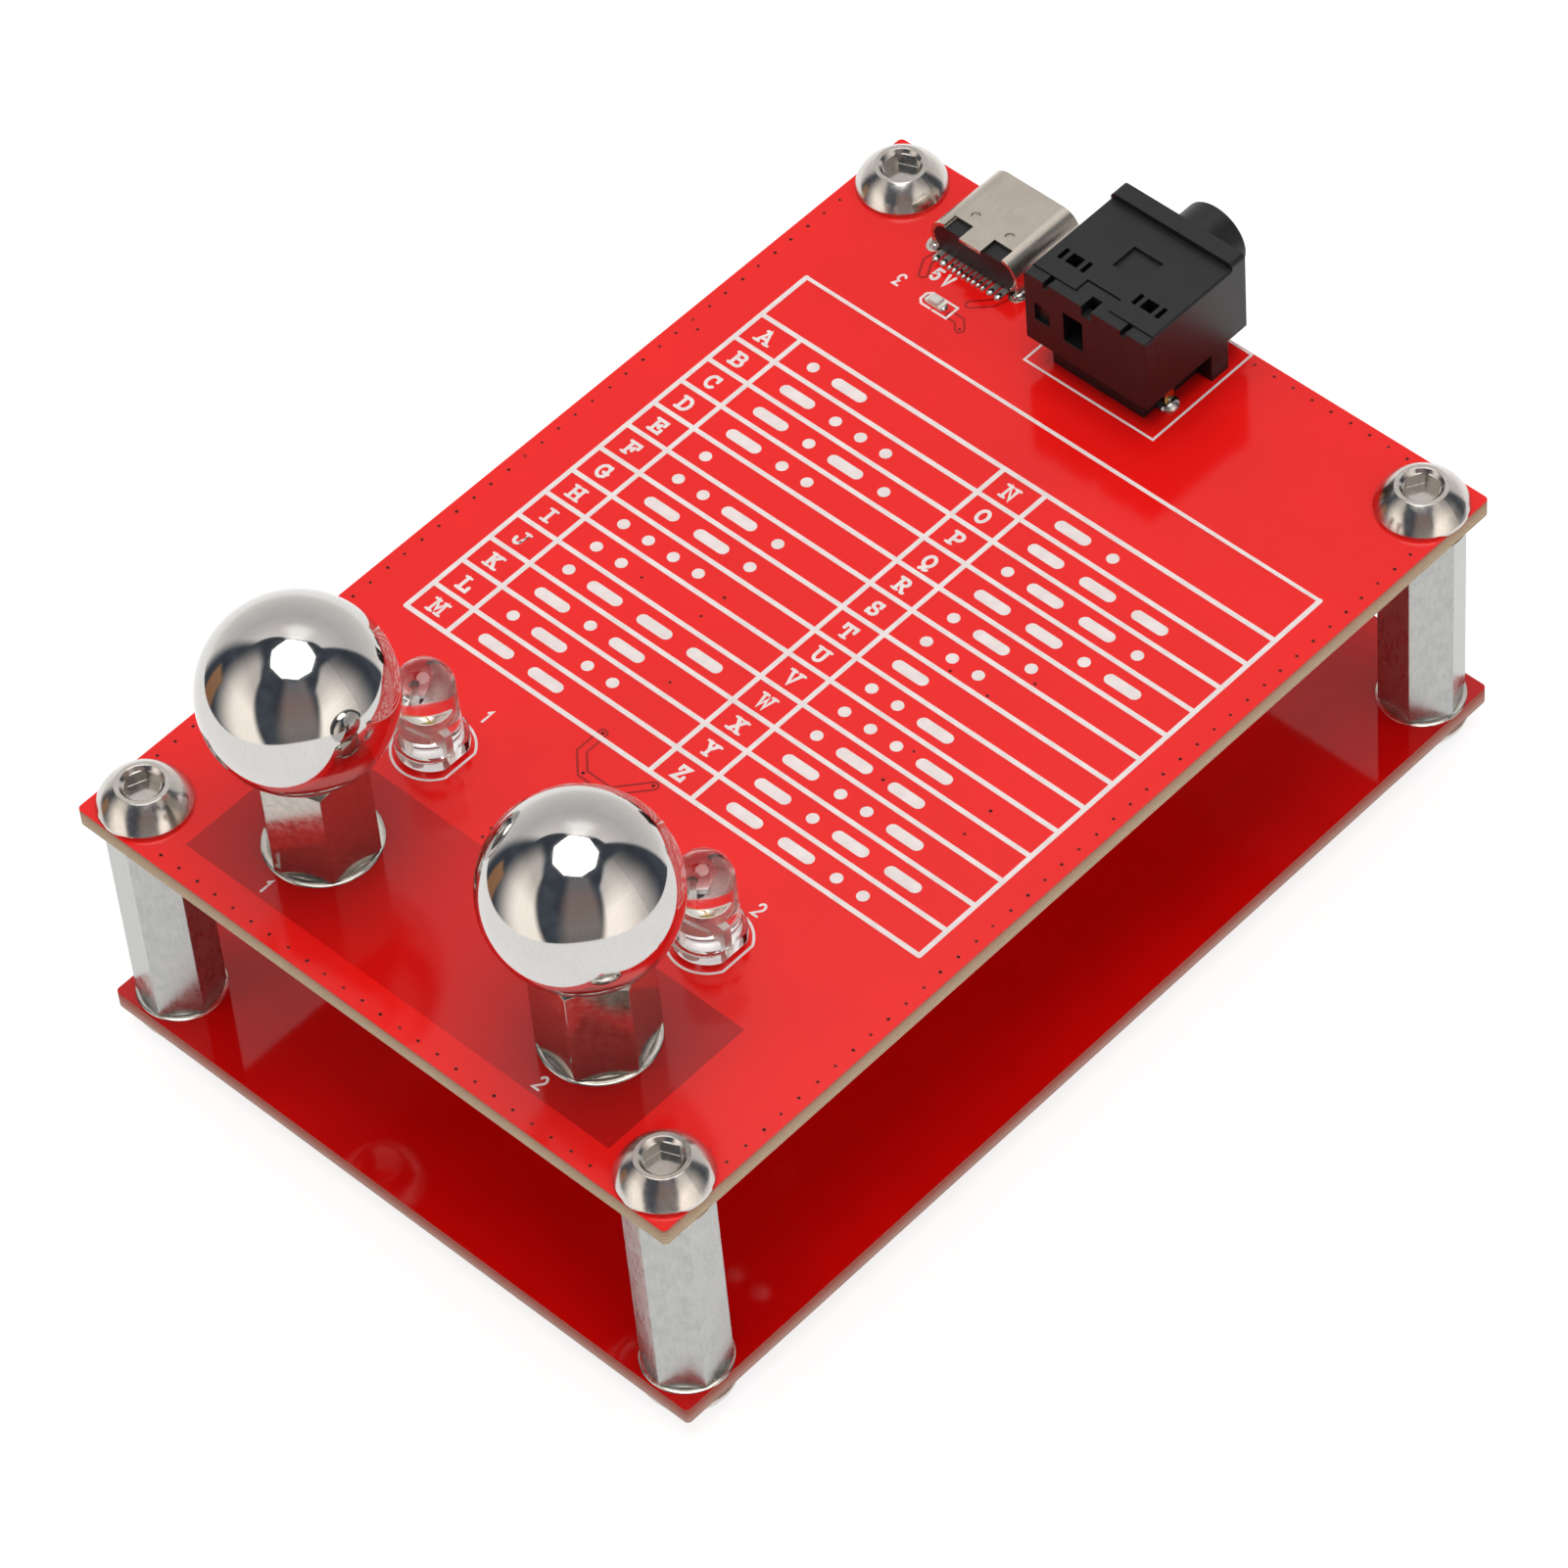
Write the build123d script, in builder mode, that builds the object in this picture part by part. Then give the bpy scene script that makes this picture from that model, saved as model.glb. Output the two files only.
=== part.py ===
"""Touch-sensing automatic telegraph key: two circuit boards on hex pillars, two steel touch balls."""

from build123d import *
import os
from math import cos, pi, radians, sqrt, tan

os.makedirs("parts", exist_ok=True)

# Boards. X runs along the front edge, Y from the touch balls to the sockets, Z up
board_width = 60.0
board_length = 90.0
board_thickness = 1.6
board_corner_radius = 0.4
hole_inset_x = 3.5
hole_inset_y = 3.7
screw_hole_diameter = 4.3

# Hex pillars between the boards, and the turn of each pillar's corners in degrees
pillar_length = 20.0
pillar_flats = 6.0
pillar_turn_angles = {"front_left": 46.8, "front_right": 38.4, "rear_left": 20.0, "rear_right": 53.9}
turned_end_share = 0.95
turned_end_angle = 30.0
hex_sides = 6

# Screw thread, drawn plain at its pitch diameter
thread_diameter = 3.5
thread_clearance = 0.05
thread_lead_in = 0.3

# Button-head screws with a hex socket
head_diameter = 7.4
head_height = 2.2
head_rim = 0.3
head_flat_diameter = 4.2
socket_flats = 2.7
socket_depth = 1.4
socket_mouth_diameter = 3.5
socket_mouth_depth = 0.3
board_screw_length = 8.0
post_screw_length = 6.0
socket_turn_angles = {"front_left": 8.6, "front_right": 22.6, "rear_left": 22.5, "rear_right": 59.5}

# Touch posts and balls
post_spacing = 28.2
post_layout_shift = 0.24
post_from_front = 9.7
post_height = 10.0
post_flats = 8.0
post_turn_angles = {"left": 25.5, "right": 52.0}
ball_diameter = 15.0
ball_seat_diameter = 7.7
ball_hole_depth = 6.0
drill_point_height = 1.0
stud_length = 10.0
stud_gap_in_post = 0.3
stud_key_flats = 1.8
stud_key_depth = 1.6

# Clear 5 mm lamps beside the balls
lamp_from_front = 21.2
lamp_lift = 0.5
lens_diameter = 4.9
lens_dome_diameter = 4.7
lens_height = 8.6
flange_diameter = 5.7
flange_height = 1.0
flange_flat_distance = 2.5
lead_pitch = 2.54
lead_width = 0.5
lead_tail = 1.4
lead_hole_diameter = 0.9
frame_height = 3.3
cup_diameter = 1.8
cup_height = 0.6
cup_mouth_diameter = 1.4
cup_floor_diameter = 0.8
cup_depth = 0.4
die_size = 0.4
die_height = 0.15

# Power lamp, a small surface part beside the power socket
power_lamp_length = 1.6
power_lamp_width = 0.8
power_lamp_base_height = 0.3
power_lamp_lens_length = 1.0
power_lamp_lens_height = 0.35
power_lamp_lens_round = 0.15
power_lamp_from_rear = 11.6

# Power socket, the flat oval kind. Its place is a share of the space from corner screw to jack
usb_place_share = 0.425
usb_width = 8.94
usb_height = 3.26
usb_length = 7.35
usb_wall = 0.3
usb_mouth_past_edge = 0.2
usb_notch_width = 1.9
usb_notch_depth = 1.3
usb_notch_spacing = 4.1
usb_dimple_diameter = 0.8
usb_dimple_depth = 0.15
usb_dimple_spacing = 3.54
usb_dimple_from_rear = 2.3
usb_leg_width = 0.9
usb_leg_reach = 1.9
usb_leg_rear_inset = 0.5
usb_leg_spacing = 4.18
usb_leg_hole_length = 1.3
usb_leg_hole_width = 0.7
usb_body_gap = 0.05
usb_body_depth = 3.3
usb_rear_lip = 0.4
usb_foot_depth = 1.2
usb_tongue_width = 6.69
usb_tongue_thickness = 0.7
usb_tongue_setback = 0.6
usb_tail_thickness = 0.15
usb_tail_width = 0.3
usb_wide_tail_width = 0.6
usb_tail_reach = 0.85
usb_tail_depth = 1.0
usb_pad_pitch = 0.5
usb_pad_width = 0.25
usb_pad_length = 3.2
usb_pad_thickness = 0.05
usb_pads_per_side = 12
usb_narrow_tails = (0.25, 0.75, 1.25, 1.75)
usb_wide_tails = (2.45, 3.25)

# Key socket, a 3.5 mm jack whose barrel looks out past the rear edge
jack_width = 12.2
jack_top = 10.1
jack_skirt = 2.9
jack_front_inset = 0.1
jack_depth = 11.5
jack_axis_height = 6.0
jack_barrel_diameter = 6.0
jack_barrel_length = 3.7
jack_bore_diameter = 3.6
jack_mouth_chamfer = 0.3
jack_barrel_round = 0.2
jack_side_wall = 0.7
jack_roof = 1.1
jack_front_block = 1.7
jack_cap_thickness = 1.0
jack_cap_drop = 0.12
jack_flange_thickness = 1.5
jack_flange_stand = 0.6
jack_flange_bottom = 3.3
jack_flange_round = 0.5
jack_foot_length = 1.9
jack_foot_thickness = 1.5
jack_foot_from_front = 2.2
jack_pocket_width = 2.9
jack_pocket_length = 2.55
jack_pocket_depth = 0.3
jack_pocket_from_front = 5.55
jack_top_offset = 0.2
jack_slot_row_from_rear = 3.25
jack_slot_length = 1.2
jack_square_length = 1.1
jack_square_width = 1.15
jack_slot_width = 0.4
jack_slot_group_from_side = 2.35
jack_slot_pitch = 1.15
jack_tab_width = 3.4
jack_tab_length = 1.4
jack_tab_gap = 0.05
jack_tab_notch_width = 1.0
jack_tab_notch_length = 1.4
jack_side_notch_width = 0.5
jack_side_notch_depth = 0.7
jack_side_notch_from_side = 2.2
jack_window_width = 1.95
jack_window_height = 3.1
jack_window_bottom = 4.95
jack_window_offset = -1.25
jack_recess_width = 1.5
jack_recess_height = 1.8
jack_recess_bottom = 5.4
jack_recess_depth = 0.4
jack_recess_from_side = 1.7
jack_base_setback = 1.2
jack_base_side_setback = 1.5
jack_floor_thickness = 0.6
jack_floor_gap = 0.05
jack_edge_round = 0.25

# Spring contacts in the jack, bent from strip
contact_thickness = 0.25
side_contact_width = 1.6
knuckle_radius = 0.25
knuckle_clearance = 0.07
fold_sweep_angle = 195.0
leaf_thickness = 0.22
bump_radius = 0.5
bump_reach_in = 0.6
leaf_reach = 4.2
leaf_tail_length = 0.5
leaf_tail_drop = 0.4
pin_width = 1.0
pin_tail = 1.4
pin_slot_clearance = 0.1
side_strap_clearance = 0.175
side_pin_from_rear = 3.5
tip_pivot_from_rear = 7.2
ring_pivot_from_rear = 2.0
sleeve_pivot_from_rear = 4.8
sleeve_pin_from_rear = 6.9
sleeve_bend_radius = 0.3
pin_hole_diameter = 1.3

# Small parts soldered under the top board
chip_length = 2.9
chip_width = 1.6
chip_height = 1.1
chip_lead_width = 0.4
chip_lead_thickness = 0.15
chip_lead_reach = 0.6
chip_lead_pitch = 0.95
chip_stand = 0.1
chip_from_front = 26.0
switch_from_front = 62.0
switch_spacing = 12.0
switch_chip_width = 1.3
switch_chip_height = 1.0
small_part_length = 2.0
small_part_width = 1.25
resistor_height = 0.5
capacitor_height = 1.1
resistor_from_front = 34.0
resistor_pitch = 3.2
resistor_count = 6
capacitor_from_front = 30.0
capacitor_offset = 4.6
joint_height = 0.9
lead_joint_radius = 0.95
lead_joint_tip_radius = 0.4
pin_joint_radius = 1.15
pin_joint_tip_radius = 0.65
pin_fillet_radius = 0.8

# Overrun of every cut past the face it opens
overrun = 0.5

# Levels and edges worked out from the sizes above
bottom_board_z = head_height
pillar_z = bottom_board_z + board_thickness
top_board_z = pillar_z + pillar_length
deck_z = top_board_z + board_thickness
rear_overhang = jack_barrel_length - jack_front_inset
board_y = -rear_overhang / 2
front_edge = board_y - board_length / 2
rear_edge = board_y + board_length / 2
hole_x = board_width / 2 - hole_inset_x
hole_y = board_length / 2 - hole_inset_y
post_y = front_edge + post_from_front
lamp_y = front_edge + lamp_from_front
post_places = {"left": post_layout_shift - post_spacing / 2, "right": post_layout_shift + post_spacing / 2}
corner_places = {
    "front_left": (-hole_x, board_y - hole_y),
    "front_right": (hole_x, board_y - hole_y),
    "rear_left": (-hole_x, board_y + hole_y),
    "rear_right": (hole_x, board_y + hole_y),
}
tapped_hole_diameter = thread_diameter + 2 * thread_clearance


def upright(x, y, z):
    """A plane at this place that looks up."""
    return Plane(origin=(x, y, z))


def facing_front(x, y, z):
    """A plane at this place whose X is +X and whose Y is up, so it grows towards the front."""
    return Plane(origin=(x, y, z), x_dir=(1, 0, 0), z_dir=(0, -1, 0))


def half_section(frame):
    """The plane that holds the axis of a turned piece: X is its radius and Y runs up its axis."""
    return Plane(origin=frame.origin, x_dir=frame.x_dir, z_dir=-frame.y_dir)


def turning_axis(frame):
    return Axis(frame.origin, frame.z_dir)


# Boards

def circuit_board(z, cut_places):
    """A board with its four screw holes and the round holes listed as (x, y, diameter)."""
    with BuildPart() as board:
        with BuildSketch(upright(0, board_y, z)) as outline:
            Rectangle(board_width, board_length)
            fillet(outline.vertices(), board_corner_radius)
        extrude(amount=board_thickness)
        with BuildSketch(upright(0, 0, z)):
            with Locations(*corner_places.values()):
                Circle(screw_hole_diameter / 2)
            for x, y, diameter in cut_places:
                with Locations((x, y)):
                    Circle(diameter / 2)
        extrude(amount=board_thickness, mode=Mode.SUBTRACT)
    return board.part


usb_space_left = head_diameter / 2 - hole_x
usb_space_right = -jack_width / 2
usb_x = usb_space_left + usb_place_share * (usb_space_right - usb_space_left)
usb_rear = rear_edge + usb_mouth_past_edge - usb_length
usb_leg_ys = (usb_rear + usb_leg_rear_inset, usb_rear + usb_leg_rear_inset + usb_leg_spacing)
usb_leg_x = usb_width / 2 - usb_wall / 2
jack_front = rear_edge - jack_front_inset
jack_rear = jack_front - jack_depth
side_pin_x = jack_width / 2 - jack_side_wall - side_strap_clearance - contact_thickness / 2
side_pin_y = jack_rear + side_pin_from_rear
sleeve_pin_y = jack_rear + sleeve_pin_from_rear
lead_places = []
for post_x in post_places.values():
    lead_places.append((post_x - lead_pitch / 2, lamp_y))
    lead_places.append((post_x + lead_pitch / 2, lamp_y))
side_pin_places = [(-side_pin_x, side_pin_y), (side_pin_x, side_pin_y)]

top_holes = [(x, post_y, screw_hole_diameter) for x in post_places.values()]
top_holes += [(x, y, lead_hole_diameter) for x, y in lead_places]
top_holes += [(x, y, pin_hole_diameter) for x, y in side_pin_places]
top_holes.append((0, sleeve_pin_y, pin_hole_diameter))

with BuildPart() as top_board:
    add(circuit_board(top_board_z, top_holes))
    with BuildSketch(upright(usb_x, 0, top_board_z)):
        for y in usb_leg_ys:
            with Locations((-usb_leg_x, y), (usb_leg_x, y)):
                SlotOverall(usb_leg_hole_length, usb_leg_hole_width, rotation=90)
    extrude(amount=board_thickness, mode=Mode.SUBTRACT)
top_board.part.label = "top_board"
export_step(top_board.part, "parts/top_board.step")

with BuildPart() as bottom_board:
    add(circuit_board(bottom_board_z, []))
bottom_board.part.label = "bottom_board"
export_step(bottom_board.part, "parts/bottom_board.step")


# Hex pillars and touch posts, turned at both ends and tapped right through

def hex_bar(frame, flats, length, turn):
    corner_radius = flats / 2 / cos(pi / hex_sides)
    end_radius = turned_end_share * flats / 2
    bevel_height = (corner_radius - end_radius) * tan(radians(turned_end_angle))
    with BuildPart() as bar:
        with BuildSketch(frame):
            RegularPolygon(flats / 2, hex_sides, major_radius=False, rotation=turn)
        extrude(amount=length)
        with BuildSketch(half_section(frame)):
            Polygon(
                (0, 0),
                (end_radius, 0),
                (corner_radius, bevel_height),
                (corner_radius, length - bevel_height),
                (end_radius, length),
                (0, length),
                align=None,
            )
        revolve(axis=turning_axis(frame), mode=Mode.INTERSECT)
        with BuildSketch(frame):
            Circle(tapped_hole_diameter / 2)
        extrude(amount=length, mode=Mode.SUBTRACT)
    return bar.part


for corner, (x, y) in corner_places.items():
    with BuildPart() as pillar:
        add(hex_bar(upright(x, y, pillar_z), pillar_flats, pillar_length, pillar_turn_angles[corner]))
    pillar.part.label = corner + "_pillar"
    export_step(pillar.part, "parts/" + corner + "_pillar.step")

for side, x in post_places.items():
    with BuildPart() as post:
        add(hex_bar(upright(x, post_y, deck_z), post_flats, post_height, post_turn_angles[side]))
    post.part.label = side + "_touch_post"
    export_step(post.part, "parts/" + side + "_touch_post.step")


# Button-head screws. The frame stands on the face under the head and looks along the head

def button_screw(frame, shank_length, turn):
    head_radius = head_diameter / 2
    flat_radius = head_flat_diameter / 2
    rise = head_height - head_rim
    crown_centre = (flat_radius**2 + head_height**2 - head_radius**2 - head_rim**2) / (2 * rise)
    crown_radius = sqrt(head_radius**2 + (head_rim - crown_centre) ** 2)
    shank_radius = thread_diameter / 2
    with BuildPart() as screw:
        with BuildSketch(half_section(frame)):
            with BuildLine():
                Polyline(
                    (0, head_height),
                    (0, -shank_length),
                    (shank_radius - thread_lead_in, -shank_length),
                    (shank_radius, thread_lead_in - shank_length),
                    (shank_radius, 0),
                    (head_radius, 0),
                    (head_radius, head_rim),
                )
                RadiusArc((head_radius, head_rim), (flat_radius, head_height), -crown_radius)
                Line((flat_radius, head_height), (0, head_height))
            make_face()
        revolve(axis=turning_axis(frame))
        with BuildSketch(frame.offset(head_height)):
            RegularPolygon(socket_flats / 2, hex_sides, major_radius=False, rotation=turn)
        extrude(amount=-socket_depth, mode=Mode.SUBTRACT)
        with BuildSketch(half_section(frame)):
            Polygon(
                (0, head_height),
                (socket_mouth_diameter / 2, head_height),
                (socket_mouth_diameter / 2 - socket_mouth_depth, head_height - socket_mouth_depth),
                (0, head_height - socket_mouth_depth),
                align=None,
            )
        revolve(axis=turning_axis(frame), mode=Mode.SUBTRACT)
    return screw.part


def looking_down(x, y, z):
    return Plane(origin=(x, y, z), x_dir=(1, 0, 0), z_dir=(0, 0, -1))


upper_screws = []
lower_screws = []
for corner, (x, y) in corner_places.items():
    upper_screws.append(button_screw(upright(x, y, deck_z), board_screw_length, socket_turn_angles[corner]))
    lower_frame = looking_down(x, y, bottom_board_z)
    lower_screws.append(button_screw(lower_frame, board_screw_length, socket_turn_angles[corner]))
hidden_screws = []
for side, x in post_places.items():
    hidden_frame = looking_down(x, post_y, top_board_z)
    hidden_screws.append(button_screw(hidden_frame, post_screw_length, post_turn_angles[side]))

with BuildPart() as top_screws:
    add(upper_screws)
top_screws.part.label = "top_screws"
export_step(top_screws.part, "parts/top_screws.step")

with BuildPart() as bottom_screws:
    add(lower_screws)
bottom_screws.part.label = "bottom_screws"
export_step(bottom_screws.part, "parts/bottom_screws.step")

with BuildPart() as post_screws:
    add(hidden_screws)
post_screws.part.label = "post_screws"
export_step(post_screws.part, "parts/post_screws.step")


# Touch balls, each with a spot face and a tapped blind hole, and the stud that holds it

def touch_ball(frame):
    ball_radius = ball_diameter / 2
    seat_radius = ball_seat_diameter / 2
    hole_radius = tapped_hole_diameter / 2
    centre_height = sqrt(ball_radius**2 - seat_radius**2)
    with BuildPart() as ball:
        with BuildSketch(half_section(frame)):
            with BuildLine():
                ThreePointArc(
                    (seat_radius, 0),
                    (ball_radius, centre_height),
                    (0, centre_height + ball_radius),
                )
                Polyline(
                    (0, centre_height + ball_radius),
                    (0, ball_hole_depth + drill_point_height),
                    (hole_radius, ball_hole_depth),
                    (hole_radius, 0),
                    (seat_radius, 0),
                )
            make_face()
        revolve(axis=turning_axis(frame))
    return ball.part


def grub_screw(frame):
    radius = thread_diameter / 2
    with BuildPart() as stud:
        with BuildSketch(half_section(frame)):
            Polygon(
                (0, 0),
                (radius - thread_lead_in, 0),
                (radius, thread_lead_in),
                (radius, stud_length - thread_lead_in),
                (radius - thread_lead_in, stud_length),
                (0, stud_length),
                align=None,
            )
        revolve(axis=turning_axis(frame))
        with BuildSketch(frame.offset(stud_length)):
            RegularPolygon(stud_key_flats / 2, hex_sides, major_radius=False)
        extrude(amount=-stud_key_depth, mode=Mode.SUBTRACT)
    return stud.part


stud_z = deck_z + post_screw_length - board_thickness + stud_gap_in_post
for side, x in post_places.items():
    with BuildPart() as ball:
        add(touch_ball(upright(x, post_y, deck_z + post_height)))
    ball.part.label = side + "_touch_ball"
    export_step(ball.part, "parts/" + side + "_touch_ball.step")

    with BuildPart() as stud:
        add(grub_screw(upright(x, post_y, stud_z)))
    stud.part.label = side + "_ball_stud"
    export_step(stud.part, "parts/" + side + "_ball_stud.step")


# Clear lamps. Outlines of the lead frame are shares of the lead pitch and of the frame height

anvil_shares = ((0.60, 0.30), (0.60, 0.73), (0.33, 0.88), (0.33, 1.00), (-0.22, 1.00), (-0.22, 0.82),
                (0.20, 0.67), (0.20, 0.45), (0.40, 0.30))
whisker_shares = ((-0.60, 0.30), (-0.60, 1.04), (-0.36, 1.04), (-0.36, 0.76), (0.06, 0.58),
                  (0.06, 0.42), (-0.40, 0.30))
lens_z = deck_z + lamp_lift
lead_bottom = -(lamp_lift + board_thickness + lead_tail)
lead_top_share = 0.35


def lamp_leads(x):
    """The lead with the cup under the flat, and the lead for the wire beside it."""
    frame = facing_front(x, lamp_y + lead_width / 2, lens_z)
    lead_length = lead_top_share * frame_height - lead_bottom
    cup_frame = upright(x, lamp_y, lens_z + frame_height)
    with BuildPart() as leads:
        for lead_side, shares in ((1, anvil_shares), (-1, whisker_shares)):
            with BuildSketch(frame):
                with Locations((lead_side * lead_pitch / 2, lead_bottom + lead_length / 2)):
                    Rectangle(lead_width, lead_length)
                Polygon(*[(u * lead_pitch, v * frame_height) for u, v in shares], align=None)
            extrude(amount=lead_width)
        with BuildSketch(cup_frame):
            Circle(cup_diameter / 2)
        extrude(amount=cup_height)
        with BuildSketch(half_section(cup_frame)):
            Polygon(
                (0, cup_height - cup_depth),
                (cup_floor_diameter / 2, cup_height - cup_depth),
                (cup_mouth_diameter / 2, cup_height),
                (0, cup_height),
                align=None,
            )
        revolve(axis=turning_axis(cup_frame), mode=Mode.SUBTRACT)
    return leads.part


def lamp_die(x):
    with BuildPart() as die:
        with BuildSketch(upright(x, lamp_y, lens_z + frame_height + cup_height - cup_depth)):
            Rectangle(die_size, die_size)
        extrude(amount=die_height)
    return die.part


def lamp_lens(x):
    """The clear body, a touch narrower at the dome, with the flange cut flat on the +X side."""
    frame = upright(x, lamp_y, lens_z)
    dome_radius = lens_dome_diameter / 2
    dome_base = lens_height - dome_radius
    flange_radius = flange_diameter / 2
    with BuildPart() as lens:
        with BuildSketch(half_section(frame)):
            with BuildLine():
                Polyline(
                    (0, lens_height),
                    (0, 0),
                    (flange_radius, 0),
                    (flange_radius, flange_height),
                    (lens_diameter / 2, flange_height),
                    (dome_radius, dome_base),
                )
                RadiusArc((dome_radius, dome_base), (0, lens_height), -dome_radius)
            make_face()
        revolve(axis=turning_axis(frame))
        with BuildSketch(frame):
            with Locations((flange_flat_distance + flange_radius / 2, 0)):
                Rectangle(flange_radius, flange_diameter)
        extrude(amount=flange_height, mode=Mode.SUBTRACT)
        add(lamp_leads(x), mode=Mode.SUBTRACT)
        add(lamp_die(x), mode=Mode.SUBTRACT)
    return lens.part


for side, x in post_places.items():
    with BuildPart() as lens:
        add(lamp_lens(x))
    lens.part.label = side + "_lamp_lens"
    export_step(lens.part, "parts/" + side + "_lamp_lens.step")

    with BuildPart() as leads:
        add(lamp_leads(x))
    leads.part.label = side + "_lamp_leads"
    export_step(leads.part, "parts/" + side + "_lamp_leads.step")

with BuildPart() as lamp_dies:
    add([lamp_die(x) for x in post_places.values()])
lamp_dies.part.label = "lamp_dies"
export_step(lamp_dies.part, "parts/lamp_dies.step")


# Power lamp

power_lamp_y = rear_edge - power_lamp_from_rear

with BuildPart() as power_lamp_base:
    with BuildSketch(upright(usb_x, power_lamp_y, deck_z)):
        Rectangle(power_lamp_length, power_lamp_width)
    extrude(amount=power_lamp_base_height)
power_lamp_base.part.label = "power_lamp_base"
export_step(power_lamp_base.part, "parts/power_lamp_base.step")

with BuildPart() as power_lamp_lens:
    with BuildSketch(upright(usb_x, power_lamp_y, deck_z + power_lamp_base_height)):
        Rectangle(power_lamp_lens_length, power_lamp_width)
    extrude(amount=power_lamp_lens_height)
    fillet(power_lamp_lens.faces().sort_by(Axis.Z)[-1].edges(), power_lamp_lens_round)
power_lamp_lens.part.label = "power_lamp_lens"
export_step(power_lamp_lens.part, "parts/power_lamp_lens.step")


# Power socket

usb_axis_z = deck_z + usb_height / 2
usb_mouth = usb_rear + usb_length
usb_foot_width = 2 * usb_wide_tails[-1] + usb_wide_tail_width

with BuildPart() as usb_shell:
    with BuildSketch(facing_front(usb_x, usb_mouth, usb_axis_z)):
        SlotOverall(usb_width, usb_height)
    extrude(amount=usb_length)
    usb_roof = upright(usb_x, usb_rear, deck_z + usb_height - usb_wall)
    with BuildSketch(usb_roof):
        Rectangle(usb_notch_spacing - usb_notch_width, 2 * usb_rear_lip)
    extrude(amount=usb_wall)
    with BuildSketch(upright(usb_x, 0, deck_z - usb_leg_reach)):
        for y in usb_leg_ys:
            with Locations((-usb_leg_x, y), (usb_leg_x, y)):
                Rectangle(usb_wall, usb_leg_width)
    extrude(amount=usb_leg_reach + usb_height / 2)
    with BuildSketch(facing_front(usb_x, usb_mouth + overrun, usb_axis_z)):
        SlotOverall(usb_width - 2 * usb_wall, usb_height - 2 * usb_wall)
    extrude(amount=usb_length + usb_rear_lip + 2 * overrun, mode=Mode.SUBTRACT)
    with BuildSketch(usb_roof):
        with Locations((-usb_notch_spacing / 2, 0), (usb_notch_spacing / 2, 0)):
            Rectangle(usb_notch_width, 2 * usb_notch_depth)
    extrude(amount=usb_wall + overrun, mode=Mode.SUBTRACT)
    with BuildSketch(upright(usb_x, usb_rear, deck_z)):
        Rectangle(usb_foot_width + usb_wall, 2 * usb_foot_depth)
    extrude(amount=usb_height / 4, mode=Mode.SUBTRACT)
    with BuildSketch(upright(usb_x, usb_rear + usb_dimple_from_rear, deck_z + usb_height)):
        with Locations((-usb_dimple_spacing / 2, 0), (usb_dimple_spacing / 2, 0)):
            Circle(usb_dimple_diameter / 2)
    extrude(amount=-usb_dimple_depth, mode=Mode.SUBTRACT)
usb_shell.part.label = "usb_shell"
export_step(usb_shell.part, "parts/usb_shell.step")

usb_inner_width = usb_width - 2 * usb_wall - 2 * usb_body_gap
usb_inner_height = usb_height - 2 * usb_wall - 2 * usb_body_gap
usb_tongue_mouth = usb_mouth - usb_tongue_setback
usb_pad_y = usb_tongue_mouth - usb_pad_width - usb_pad_length / 2

with BuildPart() as usb_insulator:
    with BuildSketch(facing_front(usb_x, usb_rear + usb_body_depth, usb_axis_z)):
        SlotOverall(usb_inner_width, usb_inner_height)
    extrude(amount=usb_body_depth)
    with BuildSketch(upright(usb_x, usb_rear, deck_z + usb_tail_thickness)):
        Rectangle(usb_foot_width, usb_foot_depth, align=(Align.CENTER, Align.MIN))
    extrude(amount=usb_height / 2)
    with BuildSketch(facing_front(usb_x, usb_tongue_mouth, usb_axis_z)):
        Rectangle(usb_tongue_width, usb_tongue_thickness)
    extrude(amount=usb_tongue_mouth - usb_rear)
usb_insulator.part.label = "usb_insulator"
export_step(usb_insulator.part, "parts/usb_insulator.step")

with BuildPart() as usb_contacts:
    with BuildSketch(upright(usb_x, usb_rear - usb_tail_reach, deck_z)):
        tail_rows = ((usb_narrow_tails, usb_tail_width), (usb_wide_tails, usb_wide_tail_width))
        for places, width in tail_rows:
            for place in places:
                with Locations((-place, 0), (place, 0)):
                    Rectangle(width, usb_tail_reach + usb_tail_depth, align=(Align.CENTER, Align.MIN))
    extrude(amount=usb_tail_thickness)
    for side in (1, -1):
        pad_z = usb_axis_z + side * usb_tongue_thickness / 2
        with BuildSketch(upright(usb_x, usb_pad_y, pad_z)):
            with GridLocations(usb_pad_pitch, 0, usb_pads_per_side, 1):
                Rectangle(usb_pad_width, usb_pad_length)
        extrude(amount=side * usb_pad_thickness)
usb_contacts.part.label = "usb_contacts"
export_step(usb_contacts.part, "parts/usb_contacts.step")


# Key socket. The housing is a box open at the rear and below, with the barrel on its front

jack_axis_z = deck_z + jack_axis_height
jack_parting = jack_rear + jack_cap_thickness
jack_cavity_front = jack_front - jack_front_block
jack_cavity_width = jack_width - 2 * jack_side_wall
jack_skirt_z = deck_z + jack_skirt
jack_roof_z = deck_z + jack_top - jack_roof
jack_shell_depth = jack_front - jack_parting
jack_slot_group_x = jack_width / 2 - jack_slot_group_from_side
jack_side_notch_x = jack_width / 2 - jack_side_notch_from_side

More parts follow.
